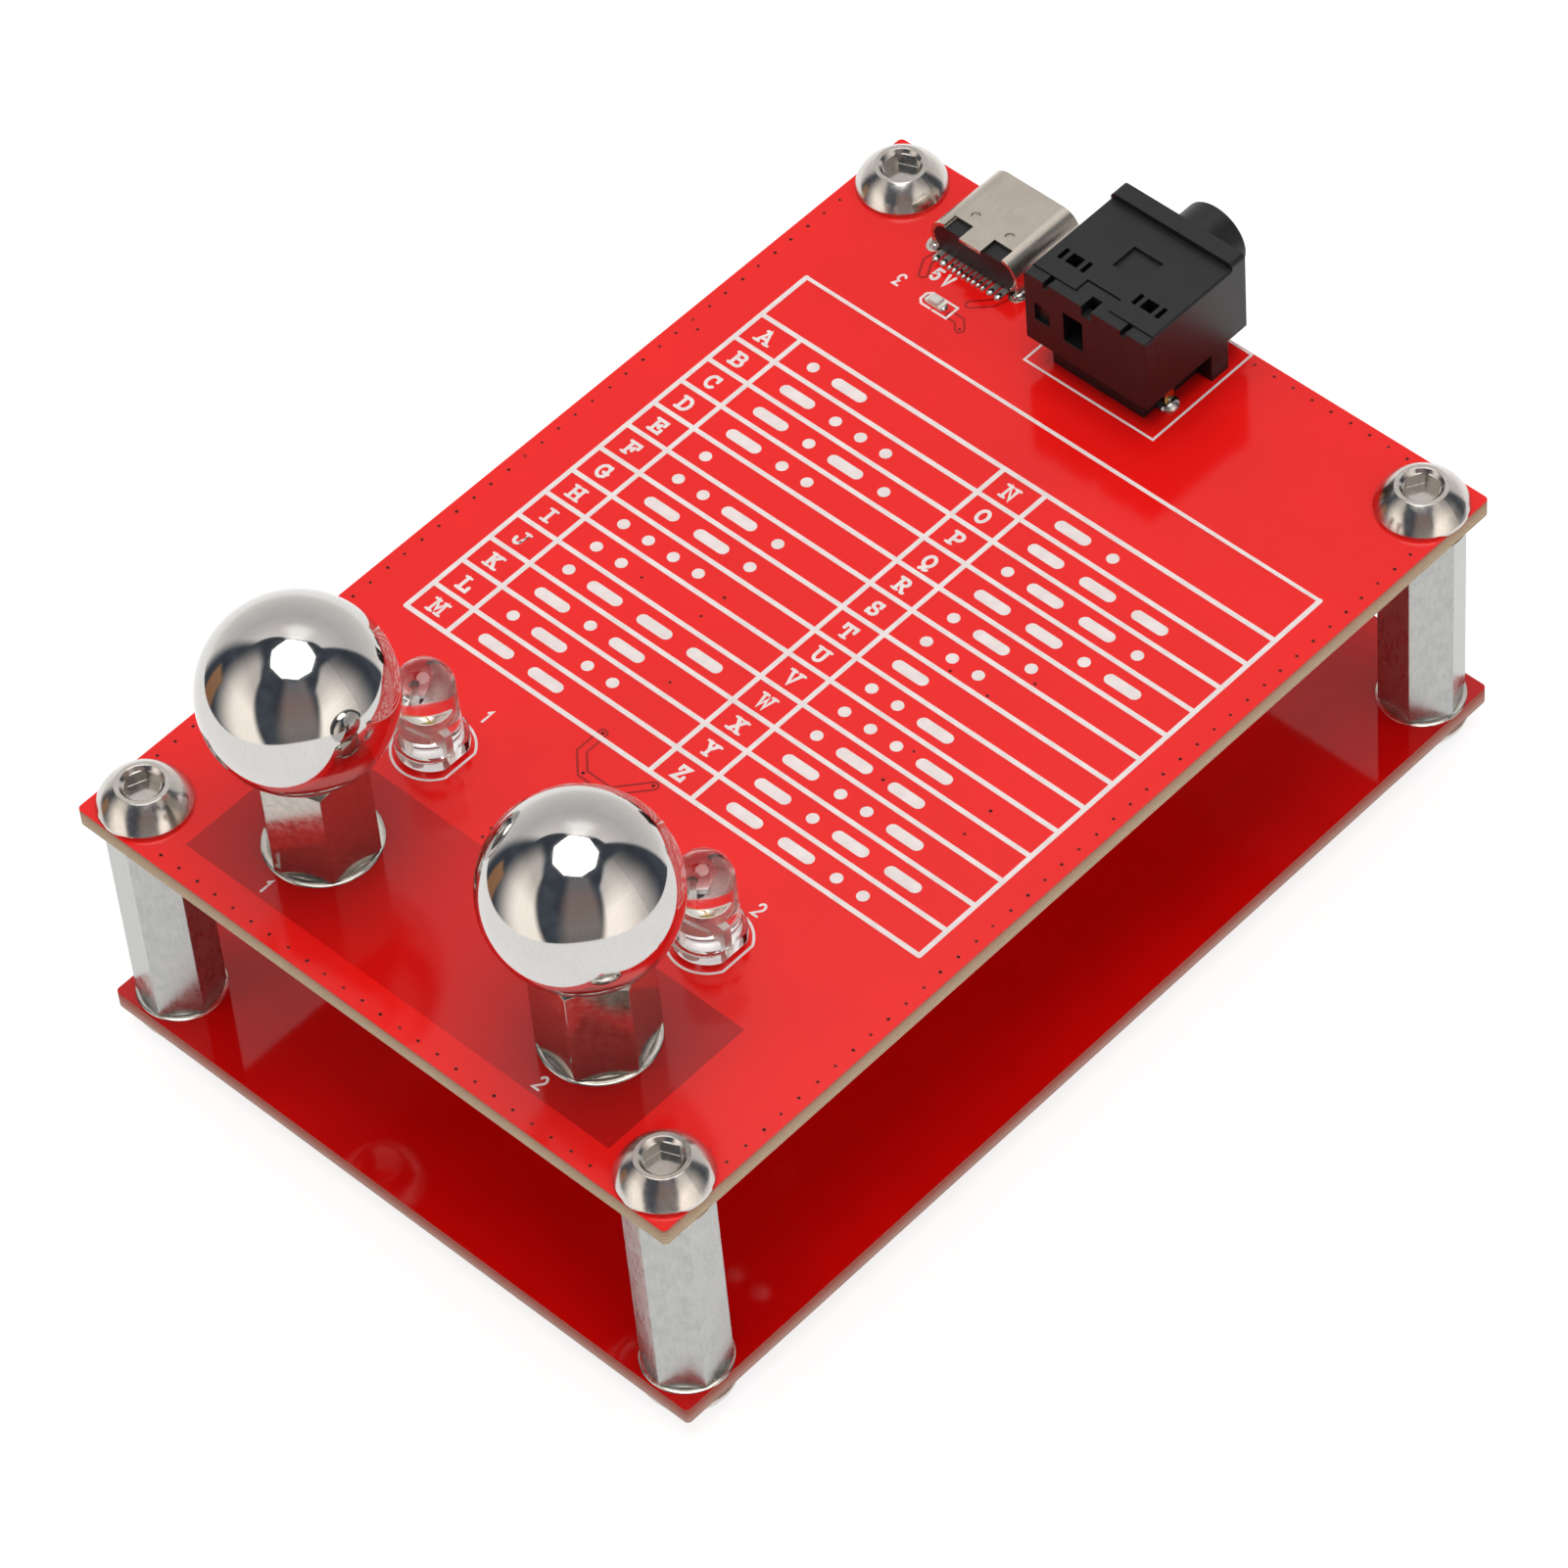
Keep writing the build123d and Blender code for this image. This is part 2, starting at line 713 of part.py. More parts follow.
with BuildPart() as jack_housing:
    with BuildSketch(upright(0, jack_parting, jack_skirt_z)):
        Rectangle(jack_width, jack_shell_depth, align=(Align.CENTER, Align.MIN))
    extrude(amount=jack_top - jack_skirt)
    fillet(jack_housing.edges().filter_by(Axis.Y).group_by(Axis.Z)[-1], jack_edge_round)
    with BuildSketch(facing_front(0, jack_front, deck_z)) as flange_outline:
        with Locations((0, jack_flange_bottom)):
            Rectangle(
                jack_width,
                jack_top + jack_flange_stand - jack_flange_bottom,
                align=(Align.CENTER, Align.MIN),
            )
        fillet(flange_outline.vertices().group_by(Axis.Y)[-1], jack_flange_round)
    extrude(amount=jack_flange_thickness)
    with BuildSketch(upright(0, jack_front - jack_foot_from_front, deck_z)):
        foot_x = (jack_width - jack_foot_thickness) / 2
        with Locations((-foot_x, 0), (foot_x, 0)):
            Rectangle(jack_foot_thickness, jack_foot_length, align=(Align.CENTER, Align.MAX))
    extrude(amount=jack_skirt)
    with BuildSketch(facing_front(0, jack_front, jack_axis_z)):
        Circle(jack_barrel_diameter / 2)
    extrude(amount=-jack_barrel_length)
    with BuildSketch(upright(0, jack_parting - overrun, jack_skirt_z)):
        Rectangle(
            jack_cavity_width,
            jack_cavity_front - jack_parting + overrun,
            align=(Align.CENTER, Align.MIN),
        )
    extrude(amount=jack_top - jack_roof - jack_skirt, mode=Mode.SUBTRACT)
    with BuildSketch(facing_front(0, jack_front + jack_barrel_length, jack_axis_z)):
        Circle(jack_bore_diameter / 2)
    extrude(amount=jack_barrel_length + jack_front_block + overrun, mode=Mode.SUBTRACT)
    jack_mouth = jack_housing.faces().sort_by(Axis.Y)[-1]
    chamfer(jack_mouth.inner_wires()[0].edges(), jack_mouth_chamfer)
    fillet(jack_mouth.outer_wire().edges(), jack_barrel_round)
    with BuildSketch(upright(0, jack_parting, jack_roof_z)):
        Rectangle(jack_tab_width, 2 * jack_tab_length)
    extrude(amount=jack_roof, mode=Mode.SUBTRACT)
    with BuildSketch(upright(jack_top_offset, jack_front - jack_pocket_from_front, deck_z + jack_top)):
        Rectangle(jack_pocket_width, jack_pocket_length)
    extrude(amount=-jack_pocket_depth, mode=Mode.SUBTRACT)
    with BuildSketch(upright(0, jack_rear + jack_slot_row_from_rear, jack_roof_z)):
        for group_x in (-jack_slot_group_x, jack_slot_group_x):
            with Locations((group_x, 0)):
                Rectangle(jack_square_width, jack_square_length)
            with Locations((group_x - jack_slot_pitch, 0), (group_x + jack_slot_pitch, 0)):
                Rectangle(jack_slot_width, jack_slot_length)
    extrude(amount=jack_roof, mode=Mode.SUBTRACT)
jack_housing.part.label = "jack_housing"
export_step(jack_housing.part, "parts/jack_housing.step")

# The base closes the rear and the bottom, and carries the spring contacts
fold_inner = knuckle_radius + knuckle_clearance
fold_middle = fold_inner + contact_thickness / 2
fold_outer = fold_inner + contact_thickness
sleeve_pivot_y = jack_rear + sleeve_pivot_from_rear
slot_width = pin_width + 2 * pin_slot_clearance
well_length = sleeve_pin_y - sleeve_pivot_y + fold_outer + contact_thickness + 2 * pin_slot_clearance
jack_base_width = jack_width - 2 * jack_base_side_setback
jack_floor_width = 2 * side_pin_x - contact_thickness - 2 * jack_floor_gap
jack_floor_front = jack_cavity_front - jack_floor_gap
jack_base_depth = jack_floor_front - jack_rear - jack_base_setback

with BuildPart() as jack_base:
    with BuildSketch(facing_front(0, jack_parting, jack_skirt_z)):
        Rectangle(jack_width, jack_top - jack_cap_drop - jack_skirt, align=(Align.CENTER, Align.MIN))
    extrude(amount=jack_cap_thickness)
    fillet(jack_base.edges().filter_by(Axis.Y).group_by(Axis.Z)[-1], jack_edge_round)
    with BuildSketch(upright(0, jack_parting, jack_skirt_z)):
        Rectangle(
            jack_floor_width,
            jack_floor_front - jack_parting,
            align=(Align.CENTER, Align.MIN),
        )
    extrude(amount=jack_floor_thickness)
    with BuildSketch(upright(0, jack_rear + jack_base_setback, deck_z)):
        Rectangle(jack_base_width, jack_base_depth, align=(Align.CENTER, Align.MIN))
    extrude(amount=jack_skirt)
    with BuildSketch(upright(0, jack_parting, jack_roof_z + jack_tab_gap)):
        Rectangle(
            jack_tab_width - 2 * jack_tab_gap,
            jack_tab_length - jack_tab_gap,
            align=(Align.CENTER, Align.MIN),
        )
    extrude(amount=jack_roof - jack_tab_gap - jack_cap_drop)
    with BuildSketch(upright(jack_top_offset, jack_rear, jack_roof_z)):
        Rectangle(jack_tab_notch_width, 2 * jack_tab_notch_length)
    extrude(amount=jack_roof, mode=Mode.SUBTRACT)
    with BuildSketch(upright(0, jack_rear, deck_z + jack_top - jack_side_notch_depth)):
        with Locations((-jack_side_notch_x, 0), (jack_side_notch_x, 0)):
            Rectangle(jack_side_notch_width, 2 * jack_cap_thickness)
    extrude(amount=jack_side_notch_depth, mode=Mode.SUBTRACT)
    with BuildSketch(facing_front(0, jack_parting, deck_z)):
        with Locations((jack_window_offset, jack_window_bottom)):
            Rectangle(jack_window_width, jack_window_height, align=(Align.CENTER, Align.MIN))
    extrude(amount=jack_cap_thickness, mode=Mode.SUBTRACT)
    with BuildSketch(facing_front(0, jack_rear + jack_recess_depth, deck_z)):
        with Locations((jack_recess_from_side - jack_width / 2, jack_recess_bottom)):
            Rectangle(jack_recess_width, jack_recess_height, align=(Align.CENTER, Align.MIN))
    extrude(amount=jack_recess_depth, mode=Mode.SUBTRACT)
    with BuildSketch(upright(0, sleeve_pin_y, deck_z)):
        Rectangle(slot_width, contact_thickness + 2 * pin_slot_clearance)
    extrude(amount=jack_skirt, mode=Mode.SUBTRACT)
    with BuildSketch(upright(0, sleeve_pivot_y - fold_outer - pin_slot_clearance, jack_skirt_z)):
        Rectangle(slot_width, well_length, align=(Align.CENTER, Align.MIN))
    extrude(amount=jack_floor_thickness, mode=Mode.SUBTRACT)
jack_base.part.label = "jack_base"
export_step(jack_base.part, "parts/jack_base.step")


# Spring contacts. Each terminal ends in a curl, and its leaf turns in the curl on a knuckle.
# The frame stands on the pivot: X runs back along the strap and Y towards the plug

def terminal_strip(frame, strap_length, width):
    with BuildPart() as strip:
        with BuildSketch(frame):
            with BuildLine():
                Line((strap_length, -fold_middle), (0, -fold_middle))
                CenterArc((0, 0), fold_middle, 270, -fold_sweep_angle)
            trace(line_width=contact_thickness)
        extrude(amount=width)
    return strip.part


def contact_leaf(frame, rise, width):
    """A leaf that rises from the pivot to a rounded bump and falls away behind it."""
    with BuildPart() as leaf:
        with BuildSketch(frame):
            with BuildLine():
                FilletPolyline(
                    (0, 0),
                    (leaf_reach, rise),
                    (leaf_reach + leaf_tail_length, rise - leaf_tail_drop),
                    radius=bump_radius,
                )
            trace(line_width=leaf_thickness)
            Circle(knuckle_radius)
        extrude(amount=width)
    return leaf.part


pin_bottom = deck_z - board_thickness - pin_tail
side_pivot_x = side_pin_x - fold_middle
side_contact_top = jack_axis_z + side_contact_width / 2
tip_pivot_y = jack_rear + tip_pivot_from_rear
ring_pivot_y = jack_rear + ring_pivot_from_rear
sleeve_pivot_z = jack_skirt_z + fold_outer
bump_height = jack_bore_diameter / 2 - bump_reach_in + leaf_thickness / 2
side_pin_height = side_contact_top - pin_bottom
tip_frame = Plane(
    origin=(side_pivot_x, tip_pivot_y, side_contact_top),
    x_dir=(0, -1, 0),
    z_dir=(0, 0, -1),
)
ring_frame = Plane(
    origin=(-side_pivot_x, ring_pivot_y, side_contact_top),
    x_dir=(0, 1, 0),
    z_dir=(0, 0, -1),
)
sleeve_frame = Plane(
    origin=(-pin_width / 2, sleeve_pivot_y, sleeve_pivot_z),
    x_dir=(0, 1, 0),
    z_dir=(1, 0, 0),
)

with BuildPart() as tip_terminal:
    add(terminal_strip(tip_frame, tip_pivot_y - side_pin_y + pin_width / 2, side_contact_width))
    with BuildSketch(upright(side_pin_x, side_pin_y, pin_bottom)):
        Rectangle(contact_thickness, pin_width)
    extrude(amount=side_pin_height)
tip_terminal.part.label = "tip_terminal"
export_step(tip_terminal.part, "parts/tip_terminal.step")

with BuildPart() as ring_terminal:
    add(terminal_strip(ring_frame, side_pin_y - ring_pivot_y + pin_width / 2, side_contact_width))
    with BuildSketch(upright(-side_pin_x, side_pin_y, pin_bottom)):
        Rectangle(contact_thickness, pin_width)
    extrude(amount=side_pin_height)
ring_terminal.part.label = "ring_terminal"
export_step(ring_terminal.part, "parts/ring_terminal.step")

with BuildPart() as sleeve_terminal:
    with BuildSketch(sleeve_frame):
        with BuildLine():
            FilletPolyline(
                (sleeve_pin_y - sleeve_pivot_y, pin_bottom - sleeve_pivot_z),
                (sleeve_pin_y - sleeve_pivot_y, -fold_middle),
                (0, -fold_middle),
                radius=sleeve_bend_radius,
            )
            CenterArc((0, 0), fold_middle, 270, -fold_sweep_angle)
        trace(line_width=contact_thickness)
    extrude(amount=pin_width)
sleeve_terminal.part.label = "sleeve_terminal"
export_step(sleeve_terminal.part, "parts/sleeve_terminal.step")

side_rise = side_pivot_x - bump_height
sleeve_rise = jack_axis_z - bump_height - sleeve_pivot_z
leaf_list = (
    ("tip_leaf", tip_frame, side_rise, side_contact_width),
    ("ring_leaf", ring_frame, side_rise, side_contact_width),
    ("sleeve_leaf", sleeve_frame, sleeve_rise, pin_width),
)
for leaf_name, frame, rise, width in leaf_list:
    with BuildPart() as leaf:
        add(contact_leaf(frame, rise, width))
    leaf.part.label = leaf_name
    export_step(leaf.part, "parts/" + leaf_name + ".step")


# Small parts soldered under the top board. Their frames look down from its lower face

def under_board(x, from_front):
    return looking_down(x, front_edge + from_front, top_board_z)


def chip_body(frame, width, height):
    with BuildPart() as body:
        with BuildSketch(frame.offset(chip_stand)):
            Rectangle(chip_length, width)
        extrude(amount=height - chip_stand)
    return body.part


def chip_leg(frame, x, side, width, height):
    """A leg bent down and out to its pad, on one long side of a chip."""
    elbow = width / 2 + chip_lead_reach / 2
    section = Plane(
        origin=frame.from_local_coords(Vector(x - side * chip_lead_width / 2, 0, 0)),
        x_dir=frame.y_dir * side,
        z_dir=frame.x_dir * side,
    )
    with BuildPart() as leg:
        with BuildSketch(section):
            with BuildLine():
                Polyline(
                    (width / 2, height / 2),
                    (elbow, height / 2),
                    (elbow, chip_lead_thickness / 2),
                    (width / 2 + chip_lead_reach, chip_lead_thickness / 2),
                )
            trace(line_width=chip_lead_thickness)
        extrude(amount=chip_lead_width)
    return leg.part


def small_part(x, from_front, height):
    with BuildPart() as chip:
        with BuildSketch(under_board(x, from_front)):
            Rectangle(small_part_width, small_part_length)
        extrude(amount=height)
    return chip.part


touch_chips_list = []
switch_chips_list = []
legs = []
for x in post_places.values():
    frame = under_board(x, chip_from_front)
    touch_chips_list.append(chip_body(frame, chip_width, chip_height))
    for side in (1, -1):
        for place in (-chip_lead_pitch, 0, chip_lead_pitch):
            legs.append(chip_leg(frame, place, side, chip_width, chip_height))
for x in (-switch_spacing / 2, switch_spacing / 2):
    frame = under_board(x, switch_from_front)
    switch_chips_list.append(chip_body(frame, switch_chip_width, switch_chip_height))
    for side, place in ((1, -chip_lead_pitch), (1, chip_lead_pitch), (-1, 0)):
        legs.append(chip_leg(frame, place, side, switch_chip_width, switch_chip_height))
resistor_xs = [resistor_pitch * (i - (resistor_count - 1) / 2) for i in range(resistor_count)]
capacitor_xs = [x + capacitor_offset * side for x, side in zip(post_places.values(), (1, -1))]

with BuildPart() as touch_chips:
    add(touch_chips_list)
touch_chips.part.label = "touch_chips"
export_step(touch_chips.part, "parts/touch_chips.step")

with BuildPart() as switch_chips:
    add(switch_chips_list)
switch_chips.part.label = "switch_chips"
export_step(switch_chips.part, "parts/switch_chips.step")

with BuildPart() as chip_legs:
    add(legs)
chip_legs.part.label = "chip_legs"
export_step(chip_legs.part, "parts/chip_legs.step")

with BuildPart() as resistors:
    add([small_part(x, resistor_from_front, resistor_height) for x in resistor_xs])
resistors.part.label = "resistors"
export_step(resistors.part, "parts/resistors.step")

with BuildPart() as capacitors:
    add([small_part(x, capacitor_from_front, capacitor_height) for x in capacitor_xs])
capacitors.part.label = "capacitors"
export_step(capacitors.part, "parts/capacitors.step")


# Solder. A cone round each pin under the board, with the pin itself cut away

def solder_cone(x, y, radius, tip_radius, pin_x, pin_y):
    frame = looking_down(x, y, top_board_z)
    with BuildPart() as cone:
        with BuildSketch(half_section(frame)):
            Polygon((0, 0), (radius, 0), (tip_radius, joint_height), (0, joint_height), align=None)
        revolve(axis=turning_axis(frame))
        with BuildSketch(frame):
            Rectangle(pin_x, pin_y)
        extrude(amount=joint_height, mode=Mode.SUBTRACT)
    return cone.part


lead_joint = (lead_joint_radius, lead_joint_tip_radius)
pin_joint = (pin_joint_radius, pin_joint_tip_radius)
cones = [solder_cone(x, y, *lead_joint, lead_width, lead_width) for x, y in lead_places]
cones += [solder_cone(x, y, *pin_joint, contact_thickness, pin_width) for x, y in side_pin_places]
cones.append(solder_cone(0, sleeve_pin_y, *pin_joint, pin_width, contact_thickness))
for y in usb_leg_ys:
    for x in (usb_x - usb_leg_x, usb_x + usb_leg_x):
        cones.append(solder_cone(x, y, *pin_joint, usb_wall, usb_leg_width))

with BuildPart() as solder_joints:
    add(cones)
    for x, y in side_pin_places:
        fillet_frame = upright(x, y, deck_z)
        with BuildSketch(half_section(fillet_frame)):
            Polygon((0, 0), (pin_fillet_radius, 0), (0, pin_fillet_radius), align=None)
        revolve(axis=turning_axis(fillet_frame))
        with BuildSketch(fillet_frame):
            Rectangle(contact_thickness, pin_width)
        extrude(amount=pin_fillet_radius, mode=Mode.SUBTRACT)
    add(jack_base.part, mode=Mode.SUBTRACT)
solder_joints.part.label = "solder_joints"
export_step(solder_joints.part, "parts/solder_joints.step")
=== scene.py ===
import math
import random

import bmesh
import bpy
from mathutils import Matrix, Vector


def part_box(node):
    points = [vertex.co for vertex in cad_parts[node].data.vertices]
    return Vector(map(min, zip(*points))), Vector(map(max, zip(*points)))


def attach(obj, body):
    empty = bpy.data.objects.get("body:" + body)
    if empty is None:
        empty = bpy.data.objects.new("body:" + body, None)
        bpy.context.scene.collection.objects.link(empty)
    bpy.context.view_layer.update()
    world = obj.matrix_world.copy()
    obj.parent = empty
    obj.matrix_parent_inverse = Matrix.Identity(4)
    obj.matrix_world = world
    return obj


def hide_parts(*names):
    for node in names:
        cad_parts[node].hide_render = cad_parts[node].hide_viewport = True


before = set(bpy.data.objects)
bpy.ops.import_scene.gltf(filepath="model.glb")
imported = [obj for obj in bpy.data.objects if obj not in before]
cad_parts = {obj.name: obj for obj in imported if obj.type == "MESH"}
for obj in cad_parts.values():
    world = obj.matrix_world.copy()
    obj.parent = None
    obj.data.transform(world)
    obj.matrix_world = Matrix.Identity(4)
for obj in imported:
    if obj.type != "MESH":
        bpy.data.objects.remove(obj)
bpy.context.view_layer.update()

mm = 0.001
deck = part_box("top_board")[1][2] / mm  # height of the printed face in millimetres
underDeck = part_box("top_board")[0][2] / mm
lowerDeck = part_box("bottom_board")[1][2] / mm
boardY = (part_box("top_board")[0][1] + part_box("top_board")[1][1]) / 2 / mm  # the boards' own centre
lampY = boardY - 23.8  # both clear lamps stand on this line


def linearColour(hexText):
    values = [int(hexText[i:i + 2], 16) / 255 for i in (1, 3, 5)]
    return tuple(v / 12.92 if v <= 0.04045 else ((v + 0.055) / 1.055) ** 2.4 for v in values) + (1.0,)


def addNode(tree, kind, inputs=None, ramp=None, **settings):
    node = tree.nodes.new(kind)
    for name, value in settings.items():
        setattr(node, name, value)
    for key, value in (inputs or {}).items():
        if isinstance(value, bpy.types.NodeSocket):
            tree.links.new(value, node.inputs[key])
        else:
            node.inputs[key].default_value = value
    if ramp:
        stops = node.color_ramp.elements
        while len(stops) < len(ramp):
            stops.new(1.0)
        for stop, (place, colour) in zip(stops, ramp):
            stop.position = place
            stop.color = linearColour(colour)
    return node


def newMaterial(name):
    material = bpy.data.materials.new(name)
    material.use_nodes = True
    material.node_tree.nodes.clear()
    return material, material.node_tree


def perMetre(size):
    return 1 / (size * mm)  # pattern scale from the size of its grain in millimetres


def meshObject(name, bm, material):
    mesh = bpy.data.meshes.new(name)
    bm.to_mesh(mesh)
    bm.free()
    piece = bpy.data.objects.new(name, mesh)
    bpy.context.collection.objects.link(piece)
    mesh.materials.append(material)
    return piece


def newPiece(name, bm, material, body="key", thickness=0.0, bevel=0.0):
    piece = meshObject(name, bm, material)
    if thickness:
        solid = piece.modifiers.new("thickness", "SOLIDIFY")
        solid.thickness = thickness * mm
        solid.offset = -1.0
    if bevel:
        edge = piece.modifiers.new("edge", "BEVEL")
        edge.width = bevel * mm
        edge.segments = 2
        edge.limit_method = "ANGLE"
    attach(piece, body)
    return piece


def arcPoints(centreX, centreY, radiusX, radiusY, start, end, steps=10):
    angles = [math.radians(start + (end - start) * i / steps) for i in range(steps + 1)]
    return [(centreX + radiusX * math.cos(a), centreY + radiusY * math.sin(a)) for a in angles]


def ovalPoints(centreX, centreY, radiusX, radiusY, steps, start=0.0):
    # once round, without the first point again
    return arcPoints(centreX, centreY, radiusX, radiusY, start, start + 360 - 360 / steps, steps - 1)


def addRibbon(bm, points, width, z, closed=False):
    # a flat stroke of even width along points, in millimetres, with mitred corners and round ends
    path = [Vector(p) for p in points]
    count = len(path)
    half = width / 2
    left, right = [], []
    for i, p in enumerate(path):
        before = path[i - 1] if i or closed else p
        after = path[(i + 1) % count] if i < count - 1 or closed else p
        inward = (p - before).normalized() if p != before else (after - p).normalized()
        outward = (after - p).normalized() if after != p else inward
        along = (inward + outward).normalized() if (inward + outward).length > 1e-6 else outward
        stretch = min(2.0, 1 / max(0.3, along.dot(outward)))
        side = Vector((-along.y, along.x)) * half * stretch
        left.append(p + side)
        right.append(p - side)

    def lift(p):
        return bm.verts.new((p.x * mm, p.y * mm, z * mm))

    leftVerts = [lift(p) for p in left]
    rightVerts = [lift(p) for p in right]
    for i in range(count if closed else count - 1):
        j = (i + 1) % count
        bm.faces.new((rightVerts[i], rightVerts[j], leftVerts[j], leftVerts[i]))
    if not closed:
        for end, sign in ((count - 1, 1), (0, -1)):
            ahead = (path[end] - path[end - sign]).normalized()
            turn = math.degrees(math.atan2(ahead.y, ahead.x))
            cap = [lift(Vector(q)) for q in arcPoints(*path[end], half, half, turn - 75, turn + 75, 6)]
            first, last = (rightVerts, leftVerts) if sign == 1 else (leftVerts, rightVerts)
            bm.faces.new([first[end]] + cap + [last[end]])


def surfaceRelief(tree, pattern, look):
    # real edges are broken by a tenth of a millimetre or less, which draws a thin bright line along them
    bump = addNode(tree, "ShaderNodeBump", {
        "Height": pattern.outputs[0], "Strength": 1.0, "Distance": look["height"] * mm})
    if "edge" in look:
        rounded = addNode(tree, "ShaderNodeBevel", {"Radius": look["edge"] * mm}, samples=4)
        tree.links.new(rounded.outputs[0], bump.inputs["Normal"])
    return bump.outputs[0]


# Solder mask on glass-fibre laminate: a sprayed, cured gloss film, so the face mirrors the studio with a
# faint orange peel. Sawn edges show the pale glass cloth. Where there is no copper below, the red is deep.
# The lower board has the same mask, drawn a darker red: painted shade, for the light the upper board keeps off
# it.
maskLook = {
    "index": 1.45, "toneSize": 9.0, "peelSize": 1.4, "height": 0.0006, "thickness": 1.6, "steep": 0.6,
    "edgeRoughness": 0.75, "clothPitch": 0.2, "clothShade": "#8F8272", "clothAmount": 0.55,
    "bareMiddle": "#CF0E0B", "bareEnd": "#B80E0C", "bareReach": (4, 19),
    "upper": {"roughness": 0.125, "red": "#EE1714", "redSpot": "#E91613", "edge": [
        (0.0, "#D3BFA4"), (0.45, "#C4AC8E"), (0.74, "#BB9A80"), (0.92, "#B5705A"), (1.0, "#B4402E")]},
    # the lower board: the same mask, its reds darker as painted shade for the light the upper board keeps off
    # it
    "lower": {"roughness": 0.06, "red": "#CF0B09", "redSpot": "#C60A08", "edge": [
        (0.0, "#CDAFA8"), (0.3, "#C58F86"), (0.55, "#B8685E"), (0.78, "#B03A31"), (1.0, "#AA2018")]},
}


def solderMask(name, look, underside, bareArea=None):
    material, tree = newMaterial(name)
    coords = addNode(tree, "ShaderNodeTexCoord").outputs["Object"]
    place = addNode(tree, "ShaderNodeSeparateXYZ", {0: coords})
    geometry = addNode(tree, "ShaderNodeNewGeometry")
    facing = addNode(tree, "ShaderNodeSeparateXYZ", {0: geometry.outputs["Normal"]})
    upright = addNode(tree, "ShaderNodeMath", {0: facing.outputs["Z"]}, operation="ABSOLUTE")
    isEdge = addNode(tree, "ShaderNodeMath", {
        0: upright.outputs[0], 1: maskLook["steep"]}, operation="LESS_THAN")
    tone = addNode(tree, "ShaderNodeTexNoise", {
        "Vector": coords, "Scale": perMetre(maskLook["toneSize"]), "Detail": 3.0})
    face = addNode(tree, "ShaderNodeValToRGB", {0: tone.outputs[0]}, [
        (0.35, look["redSpot"]), (0.65, look["red"])]).outputs[0]
    if bareArea:
        inside = 1.0
        for axis, middle, halfSize in bareArea:
            offset = addNode(tree, "ShaderNodeMath", {
                0: place.outputs[axis], 1: middle * mm}, operation="SUBTRACT")
            distance = addNode(tree, "ShaderNodeMath", {0: offset.outputs[0]}, operation="ABSOLUTE")
            near = addNode(tree, "ShaderNodeMath", {
                0: distance.outputs[0], 1: halfSize * mm}, operation="LESS_THAN")
            inside = addNode(tree, "ShaderNodeMath", {
                0: near.outputs[0], 1: inside}, operation="MULTIPLY").outputs[0]
        # light comes up through the laminate most in the middle, between the posts
        start, end = maskLook["bareReach"]
        across = addNode(tree, "ShaderNodeMath", {0: place.outputs["X"]}, operation="ABSOLUTE")
        share = addNode(tree, "ShaderNodeMapRange", {
            "Value": across.outputs[0], "From Min": start * mm, "From Max": end * mm},
            interpolation_type="SMOOTHSTEP")
        deep = addNode(tree, "ShaderNodeValToRGB", {0: share.outputs[0]}, [
            (0.0, maskLook["bareMiddle"]), (1.0, maskLook["bareEnd"])])
        face = addNode(tree, "ShaderNodeMix", {
            0: inside, 6: face, 7: deep.outputs[0]}, data_type="RGBA").outputs[2]
    # sawn edge: layers of cloth in resin, which takes the red light of the mask at its rims. The wave node
    # turns 20 radians per unit, and one wave is a layer of cloth and one of resin
    height = addNode(tree, "ShaderNodeMapRange", {
        "Value": place.outputs["Z"], "From Min": underside * mm,
        "From Max": (underside + maskLook["thickness"]) * mm})
    resin = addNode(tree, "ShaderNodeValToRGB", {0: height.outputs[0]}, look["edge"])
    layers = addNode(tree, "ShaderNodeTexWave", {
        "Vector": coords, "Scale": perMetre(maskLook["clothPitch"]) / 20 * math.pi, "Distortion": 2.5,
        "Detail": 3.0, "Detail Scale": 4.0}, bands_direction="Z")
    amount = addNode(tree, "ShaderNodeMapRange", {
        "Value": layers.outputs[0], "To Min": maskLook["clothAmount"], "To Max": 0.0})
    cloth = addNode(tree, "ShaderNodeMix", {
        0: amount.outputs[0], 6: resin.outputs[0], 7: linearColour(maskLook["clothShade"])}, data_type="RGBA")
    colour = addNode(tree, "ShaderNodeMix", {
        0: isEdge.outputs[0], 6: face, 7: cloth.outputs[2]}, data_type="RGBA")
    roughness = addNode(tree, "ShaderNodeMapRange", {
        "Value": isEdge.outputs[0], "To Min": look["roughness"], "To Max": maskLook["edgeRoughness"]})
    peel = addNode(tree, "ShaderNodeTexNoise", {
        "Vector": coords, "Scale": perMetre(maskLook["peelSize"]), "Detail": 2.0})
    shader = addNode(tree, "ShaderNodeBsdfPrincipled", {
        "Base Color": colour.outputs[2], "Roughness": roughness.outputs[0], "IOR": maskLook["index"],
        "Normal": surfaceRelief(tree, peel, maskLook)})
    addNode(tree, "ShaderNodeOutputMaterial", {"Surface": shader.outputs[0]})
    return material


